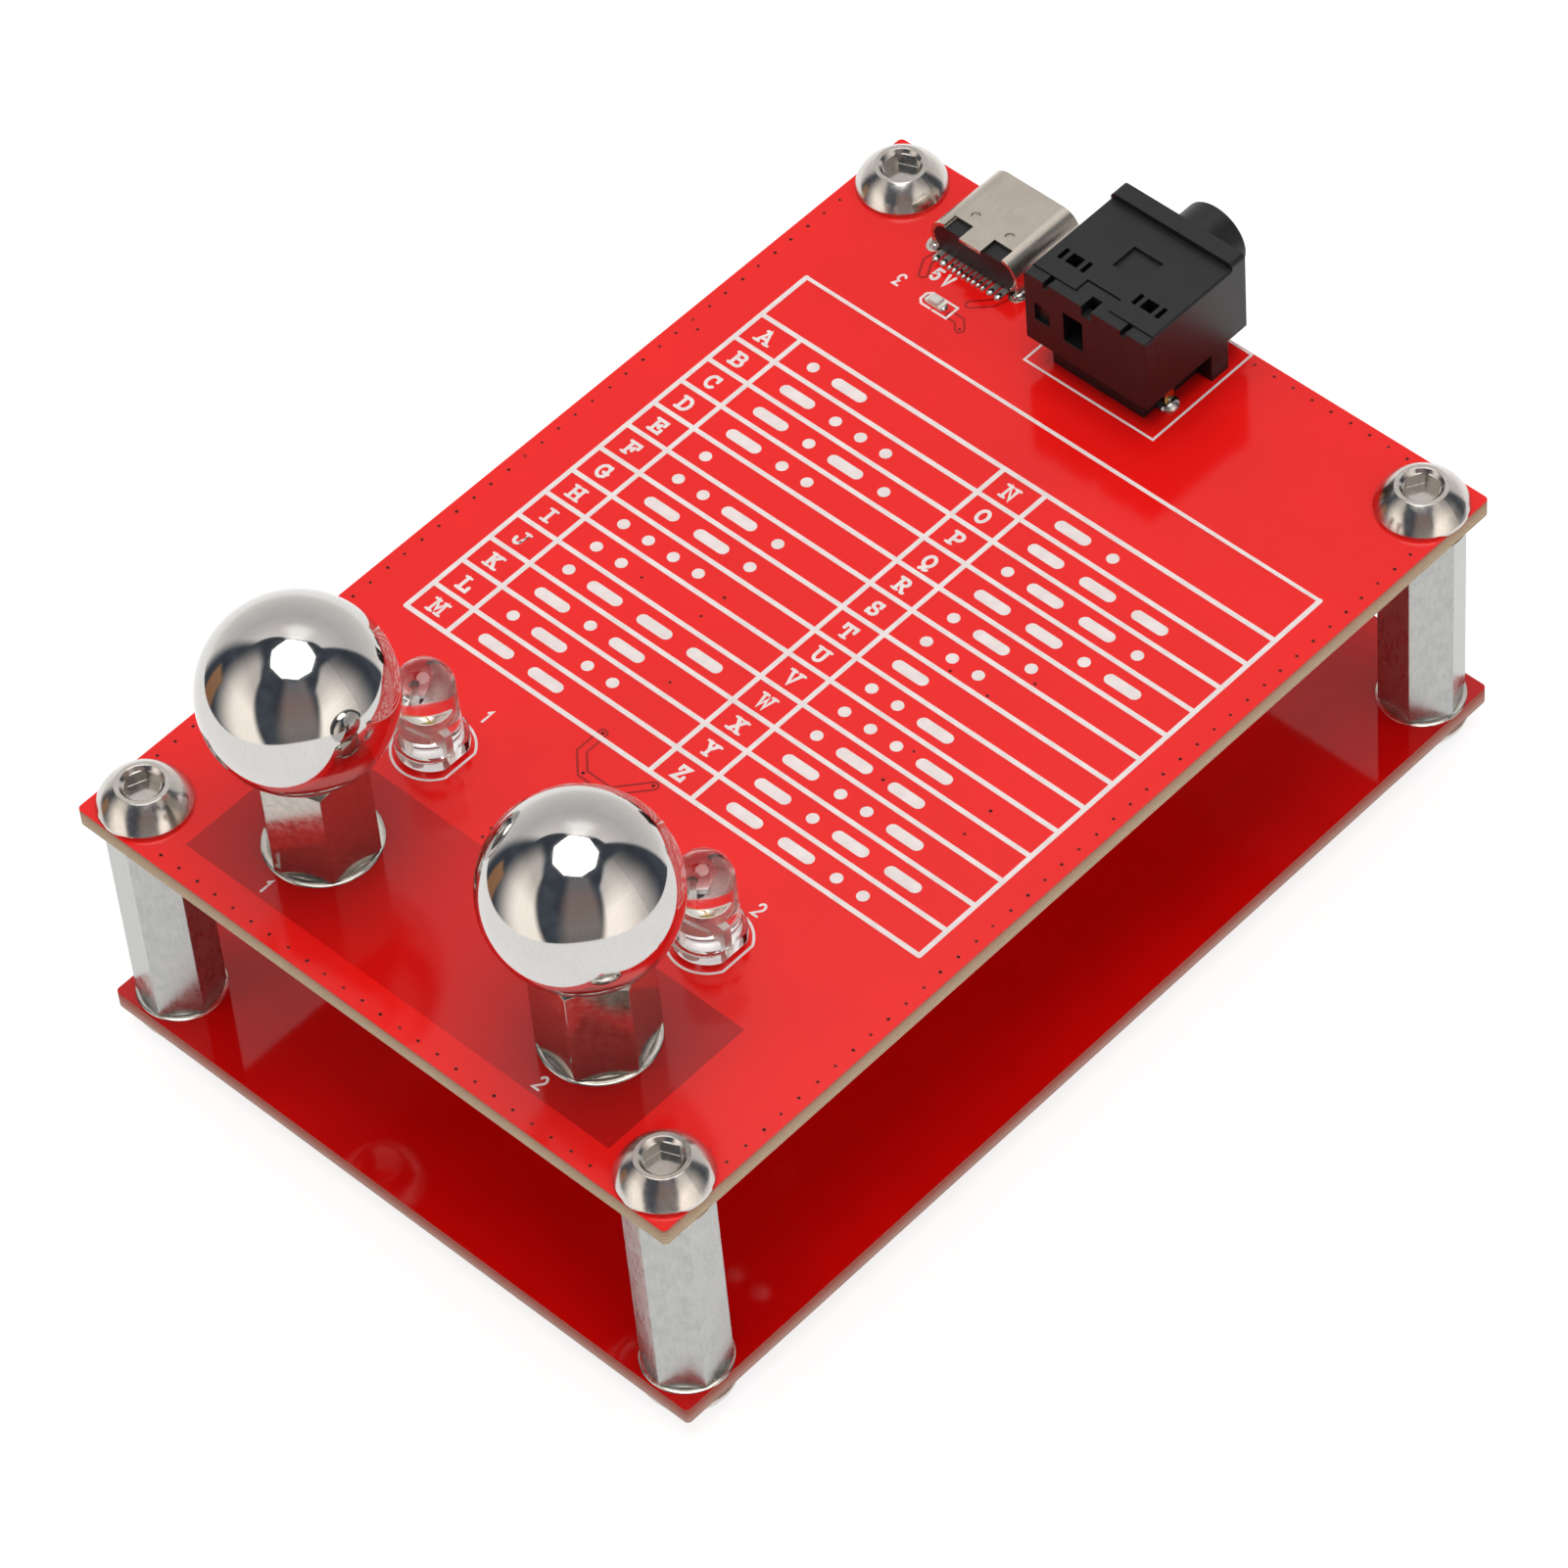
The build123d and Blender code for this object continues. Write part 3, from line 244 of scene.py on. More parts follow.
# A metal with a fine grain: two tones, a roughness that wanders, and a bump stretched along the working marks.
# Grain is the size of the marks along X, Y and Z, and blotch that of the cloudy patches, in millimetres
def workedMetal(name, look):
    material, tree = newMaterial(name)
    coords = addNode(tree, "ShaderNodeTexCoord").outputs["Object"]
    grain = addNode(tree, "ShaderNodeMapping", {
        "Vector": coords, "Scale": [perMetre(s) for s in look["grain"]]})
    marks = addNode(tree, "ShaderNodeTexNoise", {"Vector": grain.outputs[0], "Scale": 1.0, "Detail": 4.0})
    blotch = addNode(tree, "ShaderNodeTexNoise", {
        "Vector": coords, "Scale": perMetre(look["blotch"]), "Detail": 3.0})
    mixed = addNode(tree, "ShaderNodeMath", {0: marks.outputs[0], 1: blotch.outputs[0]}, operation="ADD")
    spread = addNode(tree, "ShaderNodeMapRange", {
        "Value": mixed.outputs[0], "From Min": 0.75, "From Max": 1.25})
    colour = addNode(tree, "ShaderNodeValToRGB", {0: spread.outputs[0]}, [
        (0.0, look["dark"]), (1.0, look["light"])])
    roughness = addNode(tree, "ShaderNodeMapRange", {
        "Value": spread.outputs[0], "To Min": look["roughness"][0], "To Max": look["roughness"][1]})
    shader = addNode(tree, "ShaderNodeBsdfPrincipled", {
        "Base Color": colour.outputs[0], "Metallic": look.get("metallic", 1.0),
        "Roughness": roughness.outputs[0], "Normal": surfaceRelief(tree, marks, look)})
    addNode(tree, "ShaderNodeOutputMaterial", {"Surface": shader.outputs[0]})
    return material


# A dull or glossy moulding or glaze: one hue that wanders a little, and a fine skin from the tool. Skin and
# cloud are their sizes in millimetres
def mouldedSolid(name, look):
    material, tree = newMaterial(name)
    coords = addNode(tree, "ShaderNodeTexCoord").outputs["Object"]
    skin = addNode(tree, "ShaderNodeTexNoise", {
        "Vector": coords, "Scale": perMetre(look["skin"]), "Detail": 3.0})
    cloud = addNode(tree, "ShaderNodeTexNoise", {
        "Vector": coords, "Scale": perMetre(look["cloud"]), "Detail": 2.0})
    colour = addNode(tree, "ShaderNodeValToRGB", {0: cloud.outputs[0]}, [
        (0.3, look["dark"]), (0.7, look["light"])])
    roughness = addNode(tree, "ShaderNodeMapRange", {
        "Value": skin.outputs[0], "From Min": 0.3, "From Max": 0.7,
        "To Min": look["roughness"][0], "To Max": look["roughness"][1]})
    shader = addNode(tree, "ShaderNodeBsdfPrincipled", {
        "Base Color": colour.outputs[0], "Roughness": roughness.outputs[0], "IOR": look["ior"],
        "Normal": surfaceRelief(tree, skin, look)})
    addNode(tree, "ShaderNodeOutputMaterial", {"Surface": shader.outputs[0]})
    return material


# Cast clear resin: light goes through and bends, and the skin is as smooth as its mould
def clearResin(name, look):
    material, tree = newMaterial(name)
    coords = addNode(tree, "ShaderNodeTexCoord").outputs["Object"]
    flow = addNode(tree, "ShaderNodeTexNoise", {
        "Vector": coords, "Scale": perMetre(look["flow"]), "Detail": 2.0})
    roughness = addNode(tree, "ShaderNodeMapRange", {
        "Value": flow.outputs[0], "To Min": look["roughness"][0], "To Max": look["roughness"][1]})
    shader = addNode(tree, "ShaderNodeBsdfPrincipled", {
        "Base Color": linearColour(look["colour"]), "Roughness": roughness.outputs[0], "IOR": look["ior"],
        "Transmission Weight": look["clearness"], "Normal": surfaceRelief(tree, flow, look)})
    addNode(tree, "ShaderNodeOutputMaterial", {"Surface": shader.outputs[0]})
    return material


# axis, middle and half size of the field without copper around the posts
bareRectangle = (("X", 0.3, 21.6), ("Y", boardY - 35.2, 7.0), ("Z", deck, 0.5))
topMask = solderMask("redSolderMaskTop", maskLook["upper"], underDeck, bareRectangle)
# the lower board's mask, whose darker red is painted shade
shadedLowerMask = solderMask("redSolderMaskLowerShaded", maskLook["lower"], lowerDeck - maskLook["thickness"])

# Zinc plate on drawn hex bar: satin, with lengthwise draw marks and small pits
zincPlate = workedMetal("zincPlatedDrawnSteel", {
    "dark": "#ADB0AE", "light": "#BCBEBB", "grain": (0.28, 0.28, 1.1), "blotch": 1.2,
    "roughness": (0.25, 0.35), "height": 0.0034, "edge": 0.14, "metallic": 0.88})
# Nickel plate on turned bar: brighter than the zinc, grainy only close up
nickelPlate = workedMetal("nickelPlatedTurnedBrass", {
    "dark": "#ABA59D", "light": "#C4BFB7", "grain": (0.09, 0.09, 0.16), "blotch": 0.5,
    "roughness": (0.09, 0.2), "height": 0.0016, "edge": 0.12, "metallic": 0.92})
# Stainless button heads, forged and tumbled: bright, softened reflections, with marks of about 0.3 mm
tumbledStainless = workedMetal("tumbledStainlessSteel", {
    "dark": "#CBC6C0", "light": "#D6D2CD", "grain": (0.3, 0.3, 0.3), "blotch": 1.8,
    "roughness": (0.15, 0.22), "height": 0.0003, "edge": 0.1})
# Bearing balls, ground and lapped to a mirror. Hairlines from handling are a few microns wide, and are
# drawn 0.1 mm wide so that they show
lappedSteel = workedMetal("lappedBearingSteel", {
    "dark": "#CBC9C6", "light": "#D1CFCD", "grain": (0.1, 1.5, 0.6), "blotch": 4.0,
    "roughness": (0.04, 0.09), "height": 0.00003})
# Tin dipped copper lead frames: pale and slightly cloudy
tinnedCopper = workedMetal("tinnedCopperLead", {
    "dark": "#CFCDC8", "light": "#E6E4DF", "grain": (0.2, 0.2, 0.5), "blotch": 0.8,
    "roughness": (0.3, 0.44), "height": 0.001})
# Satin nickel on the socket's folded stainless sheet: warm grey, faintly rolled. The rolling lines are finer
# than the 0.08 mm drawn here, which they need to show
satinNickel = workedMetal("satinNickelSheet", {
    "dark": "#C8C0B5", "light": "#D0C8BD", "grain": (0.08, 1.2, 0.08), "blotch": 3.0,
    "roughness": (0.24, 0.29), "height": 0.00012, "edge": 0.05})
# Thin gold over nickel on the contacts. The strip's rolling lines are drawn at 0.1 mm, coarser than they are
goldFlash = workedMetal("goldFlashedContact", {
    "dark": "#C29B4E", "light": "#D9B56A", "grain": (0.1, 0.1, 0.4), "blotch": 0.8,
    "roughness": (0.15, 0.28), "height": 0.0006})
# Reflowed solder: bright, dimpled where it froze
frozenSolder = workedMetal("reflowedSolder", {
    "dark": "#B4B3B0", "light": "#DEDDDA", "grain": (0.35, 0.35, 0.35), "blotch": 0.6,
    "roughness": (0.12, 0.34), "height": 0.012})
# Levelled tin on the board's open rings
levelledTin = workedMetal("levelledTinPad", {
    "dark": "#CBC7BF", "light": "#E0DDD6", "grain": (0.7, 0.7, 0.7), "blotch": 1.6,
    "roughness": (0.16, 0.28), "height": 0.0035})

# Glass-filled polyamide from a spark-eroded tool: near black, matt. The tool's pits are finer than the
# 0.12 mm drawn here, which they need to show
mouldedNylon = mouldedSolid("sparkErodedBlackNylon", {
    "dark": "#0F1012", "light": "#151618", "skin": 0.12, "cloud": 2.5, "roughness": (0.34, 0.5),
    "height": 0.002, "ior": 1.47, "edge": 0.1})
# Transfer-moulded epoxy on the chips: dull black with sparkle of filler grains of about 0.06 mm
chipEpoxy = mouldedSolid("transferMouldedEpoxy", {
    "dark": "#1D1D1F", "light": "#2A2A2D", "skin": 0.06, "cloud": 0.8, "roughness": (0.5, 0.7),
    "height": 0.002, "ior": 1.55})
# Screen-printed epoxy ink: opaque off-white, slightly domed and dull, with the 0.1 mm print of the mesh
printInk = mouldedSolid("screenPrintedWhiteInk", {
    "dark": "#E3D8D8", "light": "#EEE4E4", "skin": 0.1, "cloud": 1.2, "roughness": (0.42, 0.6),
    "height": 0.001, "ior": 1.48})
# Glazed resistor glass and fired capacitor ceramic, whose grain is drawn at 0.08 mm, coarser than it is
resistorGlaze = mouldedSolid("glazedResistorGlass", {
    "dark": "#131316", "light": "#1E1E22", "skin": 0.3, "cloud": 0.7, "roughness": (0.12, 0.25),
    "height": 0.001, "ior": 1.52})
firedCeramic = mouldedSolid("firedTanCeramic", {
    "dark": "#8C6B4C", "light": "#A68464", "skin": 0.08, "cloud": 0.6, "roughness": (0.4, 0.6),
    "height": 0.002, "ior": 1.6})
# Pale laminate under the small power lamp, and the crystal that lights
lampLaminate = mouldedSolid("paleLampLaminate", {
    "dark": "#E2DFD2", "light": "#F2EFE4", "skin": 0.08, "cloud": 0.4, "roughness": (0.35, 0.5),
    "height": 0.001, "ior": 1.52})
lampCrystal = mouldedSolid("lampCrystal", {
    "dark": "#BFA848", "light": "#E0CF6A", "skin": 0.05, "cloud": 0.2, "roughness": (0.2, 0.35),
    "height": 0.001, "ior": 1.7})
# Mask over bare laminate, in the narrow gaps beside tracks and in the filled vias
gapMask = mouldedSolid("redMaskOverGap", {
    "dark": "#9A0F0C", "light": "#AA120E", "skin": 0.4, "cloud": 2.0, "roughness": (0.08, 0.16),
    "height": 0.0006, "ior": 1.42})
viaDark = mouldedSolid("maskPluggedVia", {
    "dark": "#220202", "light": "#3C0404", "skin": 0.1, "cloud": 0.3, "roughness": (0.8, 0.95),
    "height": 0.004, "ior": 1.3})
# Mask standing over the edge of a ring of copper: same film, a little thicker
ridgeMask = mouldedSolid("redMaskRidge", {
    "dark": "#C4201B", "light": "#D0241F", "skin": 0.5, "cloud": 2.0, "roughness": (0.05, 0.09),
    "height": 0.0006, "ior": 1.5})

# Water-clear casting epoxy of the 5 mm lamps, and the slightly yellow moulding over the power lamp
castEpoxy = clearResin("waterClearCastEpoxy", {
    "colour": "#FBFCFC", "flow": 2.2, "roughness": (0.0, 0.02), "height": 0.0012, "ior": 1.53,
    "clearness": 1.0})
lampOvermould = clearResin("clearLampOvermould", {
    "colour": "#FFFDF6", "flow": 0.3, "roughness": (0.03, 0.2), "height": 0.008, "ior": 1.5,
    "clearness": 0.35})

nodeMaterials = {
    topMask: ["top_board"],
    shadedLowerMask: ["bottom_board"],
    zincPlate: ["front_left_pillar", "front_right_pillar", "rear_left_pillar", "rear_right_pillar"],
    nickelPlate: ["left_touch_post", "right_touch_post"],
    tumbledStainless: ["top_screws", "bottom_screws", "post_screws", "left_ball_stud", "right_ball_stud"],
    lappedSteel: ["left_touch_ball", "right_touch_ball"],
    tinnedCopper: ["left_lamp_leads", "right_lamp_leads", "chip_legs", "usb_contacts"],
    lampCrystal: ["lamp_dies"],
    lampLaminate: ["power_lamp_base"],
    lampOvermould: ["power_lamp_lens"],
    satinNickel: ["usb_shell"],
    mouldedNylon: ["usb_insulator", "jack_housing", "jack_base"],
    goldFlash: ["tip_terminal", "ring_terminal", "sleeve_terminal", "tip_leaf", "ring_leaf", "sleeve_leaf"],
    chipEpoxy: ["touch_chips", "switch_chips"],
    resistorGlaze: ["resistors"],
    firedCeramic: ["capacitors"],
    frozenSolder: ["solder_joints"],
}
for material, names in nodeMaterials.items():
    for name in names:
        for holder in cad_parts[name].material_slots:
            holder.material = material
print("materials on", sum(len(names) for names in nodeMaterials.values()), "nodes")


chart = {  # millimetres from the middle of the board
    "columns": (-25.36, -21.13, -0.05, 4.21, 26.90), "top": 29.05,
    "rows": (23.94, 20.85, 17.85, 14.86, 11.83, 8.87, 5.80, 2.78, -0.14, -3.15, -6.17, -9.15, -12.18, -15.17),
    "line": 0.42, "topLine": 0.33, "ink": 0.02, "sink": 0.005, "letterX": (-23.38, 1.96), "letterDrop": 0.08,
    "markX": (-18.92, 6.62), "markDrop": 0.05, "markWidth": 1.0, "dot": 1.0, "dash": 3.35,
    "gapAfterDot": 1.6, "gapAfterDash": 1.82,
    "capHeight": 1.24, "halfWidth": 0.58, "stroke": 0.3, "serif": 0.52, "serifStroke": 0.22,
}
alphabet = "ABCDEFGHIJKLMNOPQRSTUVWXYZ"
morse = (".- -... -.-. -.. . ..-. --. .... .. .--- -.- .-.. -- -. --- .--. --.- .-. ... - ..- ...- .-- -..- "
         "-.-- --..").split()

# Slab letters as strokes on a grid of -1..1 by 0..1, where six numbers are an arc, then the places of serifs
letterShapes = {
    "A": ([[(-.8, 0), (-.02, 1), (.8, 0)], [(-.48, .36), (.48, .36)], [(-.5, 1), (0, 1)]],
          [(-.8, 0), (.8, 0)]),
    "B": ([[(-.6, 0), (-.6, 1)], [(-.95, 1), (.15, 1), (.2, .77, .48, .23, 90, -90), (-.6, .54)],
           [(.2, .54), (.25, .27, .56, .27, 90, -90), (-.95, 0)]], []),
    "C": ([[(.05, .5, .78, .5, 42, 318)], [(.66, 1), (.66, .66)]], []),
    "D": ([[(-.55, 0), (-.55, 1)], [(-.92, 1), (0, 1), (0, .5, .78, .5, 90, -90), (-.92, 0)]], []),
    "E": ([[(.75, .7), (.75, 1), (-.9, 1)], [(-.5, 1), (-.5, 0)], [(-.9, 0), (.82, 0), (.82, .32)],
           [(-.5, .52), (.25, .52)], [(.25, .38), (.25, .66)]], []),
    "F": ([[(.85, .68), (.85, 1), (-.85, 1)], [(-.42, 1), (-.42, 0)], [(-.42, .5), (.35, .5)],
           [(.35, .36), (.35, .64)]], [(-.42, 0)]),
    "G": ([[(0, .5, .78, .5, 42, 318)], [(.12, .44), (.9, .44)], [(.66, .44), (.66, .14)],
           [(.62, 1), (.62, .66)]], []),
    "H": ([[(-.6, 0), (-.6, 1)], [(.6, 0), (.6, 1)], [(-.6, .5), (.6, .5)]],
          [(-.6, 0), (-.6, 1), (.6, 0), (.6, 1)]),
    "I": ([[(0, 0), (0, 1)]], [(-.15, 0), (.15, 0), (-.15, 1), (.15, 1)]),
    "J": ([[(.35, 1), (.35, .3), (-.17, .32, .52, .32, 0, -180), (-.69, .4)]], [(.35, 1)]),
    "K": ([[(-.55, 0), (-.55, 1)], [(.58, 1), (-.5, .4)], [(-.12, .58), (.68, 0)]],
          [(-.55, 0), (-.55, 1), (.58, 1), (.7, 0)]),
    "L": ([[(-.4, 1), (-.4, 0)], [(-.8, 0), (.8, 0), (.8, .36)]], [(-.4, 1)]),
    "M": ([[(-.72, 0), (-.72, 1), (0, .34), (.72, 1), (.72, 0)]], [(-.72, 0), (.72, 0), (-.8, 1), (.8, 1)]),
    "N": ([[(-.6, 0), (-.6, 1), (.6, .02), (.6, 1)]], [(-.6, 0), (.6, 1), (-.75, 1)]),
    "O": ([[(0, .5, .74, .5, 0, 360)]], []),
    "P": ([[(-.5, 0), (-.5, 1)], [(-.9, 1), (.1, 1), (.15, .72, .56, .28, 90, -90), (-.5, .44)]], [(-.5, 0)]),
    "Q": ([[(0, .54, .74, .46, 0, 360)], [(-.42, -.22), (-.1, -.04), (.24, -.2), (.62, -.12)]], []),
    "R": ([[(-.5, 0), (-.5, 1)], [(-.9, 1), (.1, 1), (.12, .75, .52, .25, 90, -90), (-.5, .5)],
           [(0, .5), (.6, 0), (.9, 0)]], [(-.5, 0)]),
    "S": ([[(0, .75, .56, .25, 20, 270), (0, .25, .64, .25, 90, -165)], [(.58, 1), (.58, .72)],
           [(-.62, 0), (-.62, .3)]], []),
    "T": ([[(0, 0), (0, 1)], [(-.85, .66), (-.85, 1), (.85, 1), (.85, .66)]], [(0, 0)]),
    "U": ([[(-.6, 1), (-.6, .36), (0, .36, .6, .36, 180, 360), (.6, 1)]], [(-.6, 1), (.6, 1)]),
    "V": ([[(-.72, 1), (0, 0), (.72, 1)]], [(-.72, 1), (.72, 1)]),
    "W": ([[(-.78, 1), (-.42, 0), (0, .74), (.42, 0), (.78, 1)]], [(-.78, 1), (.78, 1)]),
    "X": ([[(-.66, 0), (.62, 1)], [(-.62, 1), (.66, 0)]], [(-.66, 0), (.66, 0), (-.62, 1), (.62, 1)]),
    "Y": ([[(-.68, 1), (0, .46), (.68, 1)], [(0, .46), (0, 0)]], [(-.68, 1), (.68, 1), (0, 0)]),
    "Z": ([[(-.62, .68), (-.62, 1), (.6, 1), (-.66, 0), (.7, 0), (.7, .32)]], []),
    "1": ([[(-.35, .78), (.1, 1), (.1, 0)]], []),
    "2": ([[(0, .7, .55, .3, 165, -35), (-.6, 0), (.6, 0)]], []),
    "3": ([[(-.55, 1), (.5, 1), (-.05, .6), (-.05, .3, .6, .3, 85, -150)]], []),
    "5": ([[(.5, 1), (-.42, 1), (-.5, .54), (-.02, .32, .56, .32, 125, -145)]], []),
    "v": ([[(-.55, 1), (0, 0), (.55, 1)]], []),
}


strokeStep = 0.0015  # crossing strokes lie this far above each other, so that they don't share a face


def addLetter(bm, sign, x, y, size, turn=0.0, lift=0.0):
    strokes, serifs = letterShapes[sign]
    paths = [(stroke, size["stroke"]) for stroke in strokes]
    reach = size["serif"] / 2 / size["halfWidth"]
    paths += [([(sx - reach, sy), (sx + reach, sy)], size["serifStroke"]) for sx, sy in serifs]
    for order, (path, width) in enumerate(paths):
        points = []
        for part in path:
            points += [part] if len(part) == 2 else arcPoints(*part, 14)
        swing = Matrix.Rotation(math.radians(turn), 2)
        placed = []
        for px, py in points:
            q = swing @ Vector((px * size["halfWidth"], (py - 0.5) * size["capHeight"]))
            if not placed or (Vector(placed[-1]) - Vector((x + q.x, y + q.y))).length > 1e-4:
                placed.append((x + q.x, y + q.y))
        closed = len(path) == 1 and len(path[0]) == 6 and abs(path[0][5] - path[0][4]) == 360
        addRibbon(bm, placed[:-1] if closed else placed, width, lift + strokeStep * order, closed=closed)


def chartPieces():
    inkTop = deck + chart["ink"]
    lines = bmesh.new()
    left, right = chart["columns"][0], chart["columns"][-1]
    bottom = chart["rows"][-1] + boardY
    topY = chart["top"] + boardY
    for y in chart["rows"]:
        addRibbon(lines, [(left, y + boardY), (right, y + boardY)], chart["line"], inkTop)
    for x in (left, right) + chart["columns"][1:-1]:
        end = topY if x in (left, right) else chart["rows"][0] + boardY
        addRibbon(lines, [(x, bottom), (x, end)], chart["line"], inkTop + strokeStep)
    addRibbon(lines, [(left, topY), (right, topY)], chart["topLine"], inkTop + 2 * strokeStep)
    newPiece("chartFrame", lines, printInk, thickness=chart["ink"] + chart["sink"])

    letters, marks = bmesh.new(), bmesh.new()
    for index, (sign, code) in enumerate(zip(alphabet, morse)):
        column, row = divmod(index, 13)
        middle = (chart["rows"][row] + chart["rows"][row + 1]) / 2 + boardY
        addLetter(letters, sign, chart["letterX"][column], middle - chart["letterDrop"], chart, lift=inkTop)
        x = chart["markX"][column]
        for mark in code:
            length = chart["dot"] if mark == "." else chart["dash"]
            inset = chart["markWidth"] / 2 - 0.01  # a dot is all round end, with next to no straight part
            y = middle - chart["markDrop"]
            addRibbon(marks, [(x + inset, y), (x + length - inset, y)], chart["markWidth"], inkTop)
            x += length + (chart["gapAfterDot"] if mark == "." else chart["gapAfterDash"])
    newPiece("chartLetters", letters, printInk, thickness=chart["ink"] + chart["sink"])
    newPiece("chartMarks", marks, printInk, thickness=chart["ink"] + chart["sink"])


chartPieces()
print("chart printed")


partPrint = {  # the outlines and numbers beside the parts
    "line": 0.2, "ink": 0.02, "sink": 0.005, "lampRadius": 3.2, "lampFlat": 2.8, "lampXs": (-13.9, 14.3),
    "jackBox": (-6.48, 6.62, 33.35, 44.85),
    "powerLamp": [(-15.75, 32.7), (-16.65, 32.7), (-17.0, 33.05), (-17.0, 33.75), (-16.65, 34.1),
                  (-14.05, 34.1), (-14.05, 32.7), (-15.45, 32.7)],
    "numbers": (("1", -13.9, -41.1, 0), ("2", 14.15, -41.1, 0), ("1", -12.9, -19.1, 0), ("2", 15.2, -19.5, 0),
                ("3", -19.6, 33.5, 180)),
    "numberSize": {"capHeight": 1.2, "halfWidth": 0.46, "stroke": 0.2, "serif": 0.2, "serifStroke": 0.15},
    "voltSize": {"capHeight": 1.15, "halfWidth": 0.5, "stroke": 0.28, "serif": 0.2, "serifStroke": 0.2},
    "volts": (("5", -17.75, 35.75), ("v", -16.6, 35.75)),
}


def partPrintPieces():
    inkTop = deck + partPrint["ink"]
    outlines, signs = bmesh.new(), bmesh.new()
    flatAngle = math.degrees(math.acos(partPrint["lampFlat"] / partPrint["lampRadius"]))
    for x in partPrint["lampXs"]:
        r = partPrint["lampRadius"]
        ring = arcPoints(x, lampY, r, r, flatAngle, 360 - flatAngle, 48)
        addRibbon(outlines, ring, partPrint["line"], inkTop, closed=True)
    x0, x1, y0, y1 = partPrint["jackBox"]
    box = [(x0, y0 + boardY), (x1, y0 + boardY), (x1, y1 + boardY), (x0, y1 + boardY)]
    addRibbon(outlines, box, partPrint["line"], inkTop, closed=True)
    addRibbon(outlines, [(x, y + boardY) for x, y in partPrint["powerLamp"]], partPrint["line"], inkTop)
    newPiece("partOutlines", outlines, printInk, thickness=partPrint["ink"] + partPrint["sink"])
    for sign, x, y, turn in partPrint["numbers"]:
        addLetter(signs, sign, x, y + boardY, partPrint["numberSize"], turn, inkTop)
    for sign, x, y in partPrint["volts"]:
        addLetter(signs, sign, x, y + boardY, partPrint["voltSize"], 0, inkTop)
    newPiece("partNumbers", signs, printInk, thickness=partPrint["ink"] + partPrint["sink"])


partPrintPieces()
print("outlines and numbers printed")


copper = {  # what shows of the copper layer through the mask
    "viaRadius": 0.095, "viaSpread": (0.8, 1.15), "viaDrift": 0.04, "viaHalfLength": 0.02, "viaHeight": 0.006,
    "viaThickness": 0.01, "rimGap": 0.06, "rimWidth": 0.07, "rimHeight": 0.012, "rimThickness": 0.02,
    "rimBevel": 0.004, "viaPitch": 1.8625, "sideX": 29.1, "sideY": -37.62, "sideCount": 41,
    "frontY": -44.1, "frontX": 21.94, "frontCount": 24, "rearY": 44.2,
    "rearXs": (7.5, 9.4, 11.3, 13.2, 15.1, 17.0, 18.9, 20.8, 22.7),
    "loose": (
        (-7.44, 0.81), (-7.5, -1.69), (-13.62, -1.75), (-4.81, -7.88), (13.62, -1.25), (13.75, -4.69),
        (21.75, -1.81), (21.81, -4.69), (-28.06, 19.62), (16.06, 9.4), (10.4, 6.3), (14.2, 6.3),
        (-5.12, -26.56), (-5.06, -27.56), (27.4, -37.7), (-5.19, -14.72), (-3.66, -18.4), (1.22, -15.97),
        (-12.45, 32.55)),
    "trackHalf": 0.36, "gapWidth": 0.18, "gapHeight": 0.004, "gapThickness": 0.008,
    "tracks": ([(-5.19, -14.72), (-5.19, -16.95), (-3.66, -18.45), (-0.95, -18.45), (1.22, -15.97)],
               [(-14.0, 33.2), (-13.1, 33.2), (-12.45, 32.55)],
               [(-19.1, 37.2), (-19.3, 36.4), (-18.6, 35.1)], [(-12.0, 37.4), (-12.3, 36.3), (-13.6, 35.0)]),
}


def viaPlaces():
    places = list(copper["loose"])
    for side in (-1, 1):
        places += [(side * copper["sideX"], copper["sideY"] + i * copper["viaPitch"])
                   for i in range(copper["sideCount"])]
    step = 2 * copper["frontX"] / (copper["frontCount"] - 1)
    places += [(-copper["frontX"] + i * step, copper["frontY"]) for i in range(copper["frontCount"])]
    places += [(x, copper["rearY"]) for x in copper["rearXs"]]
    return places


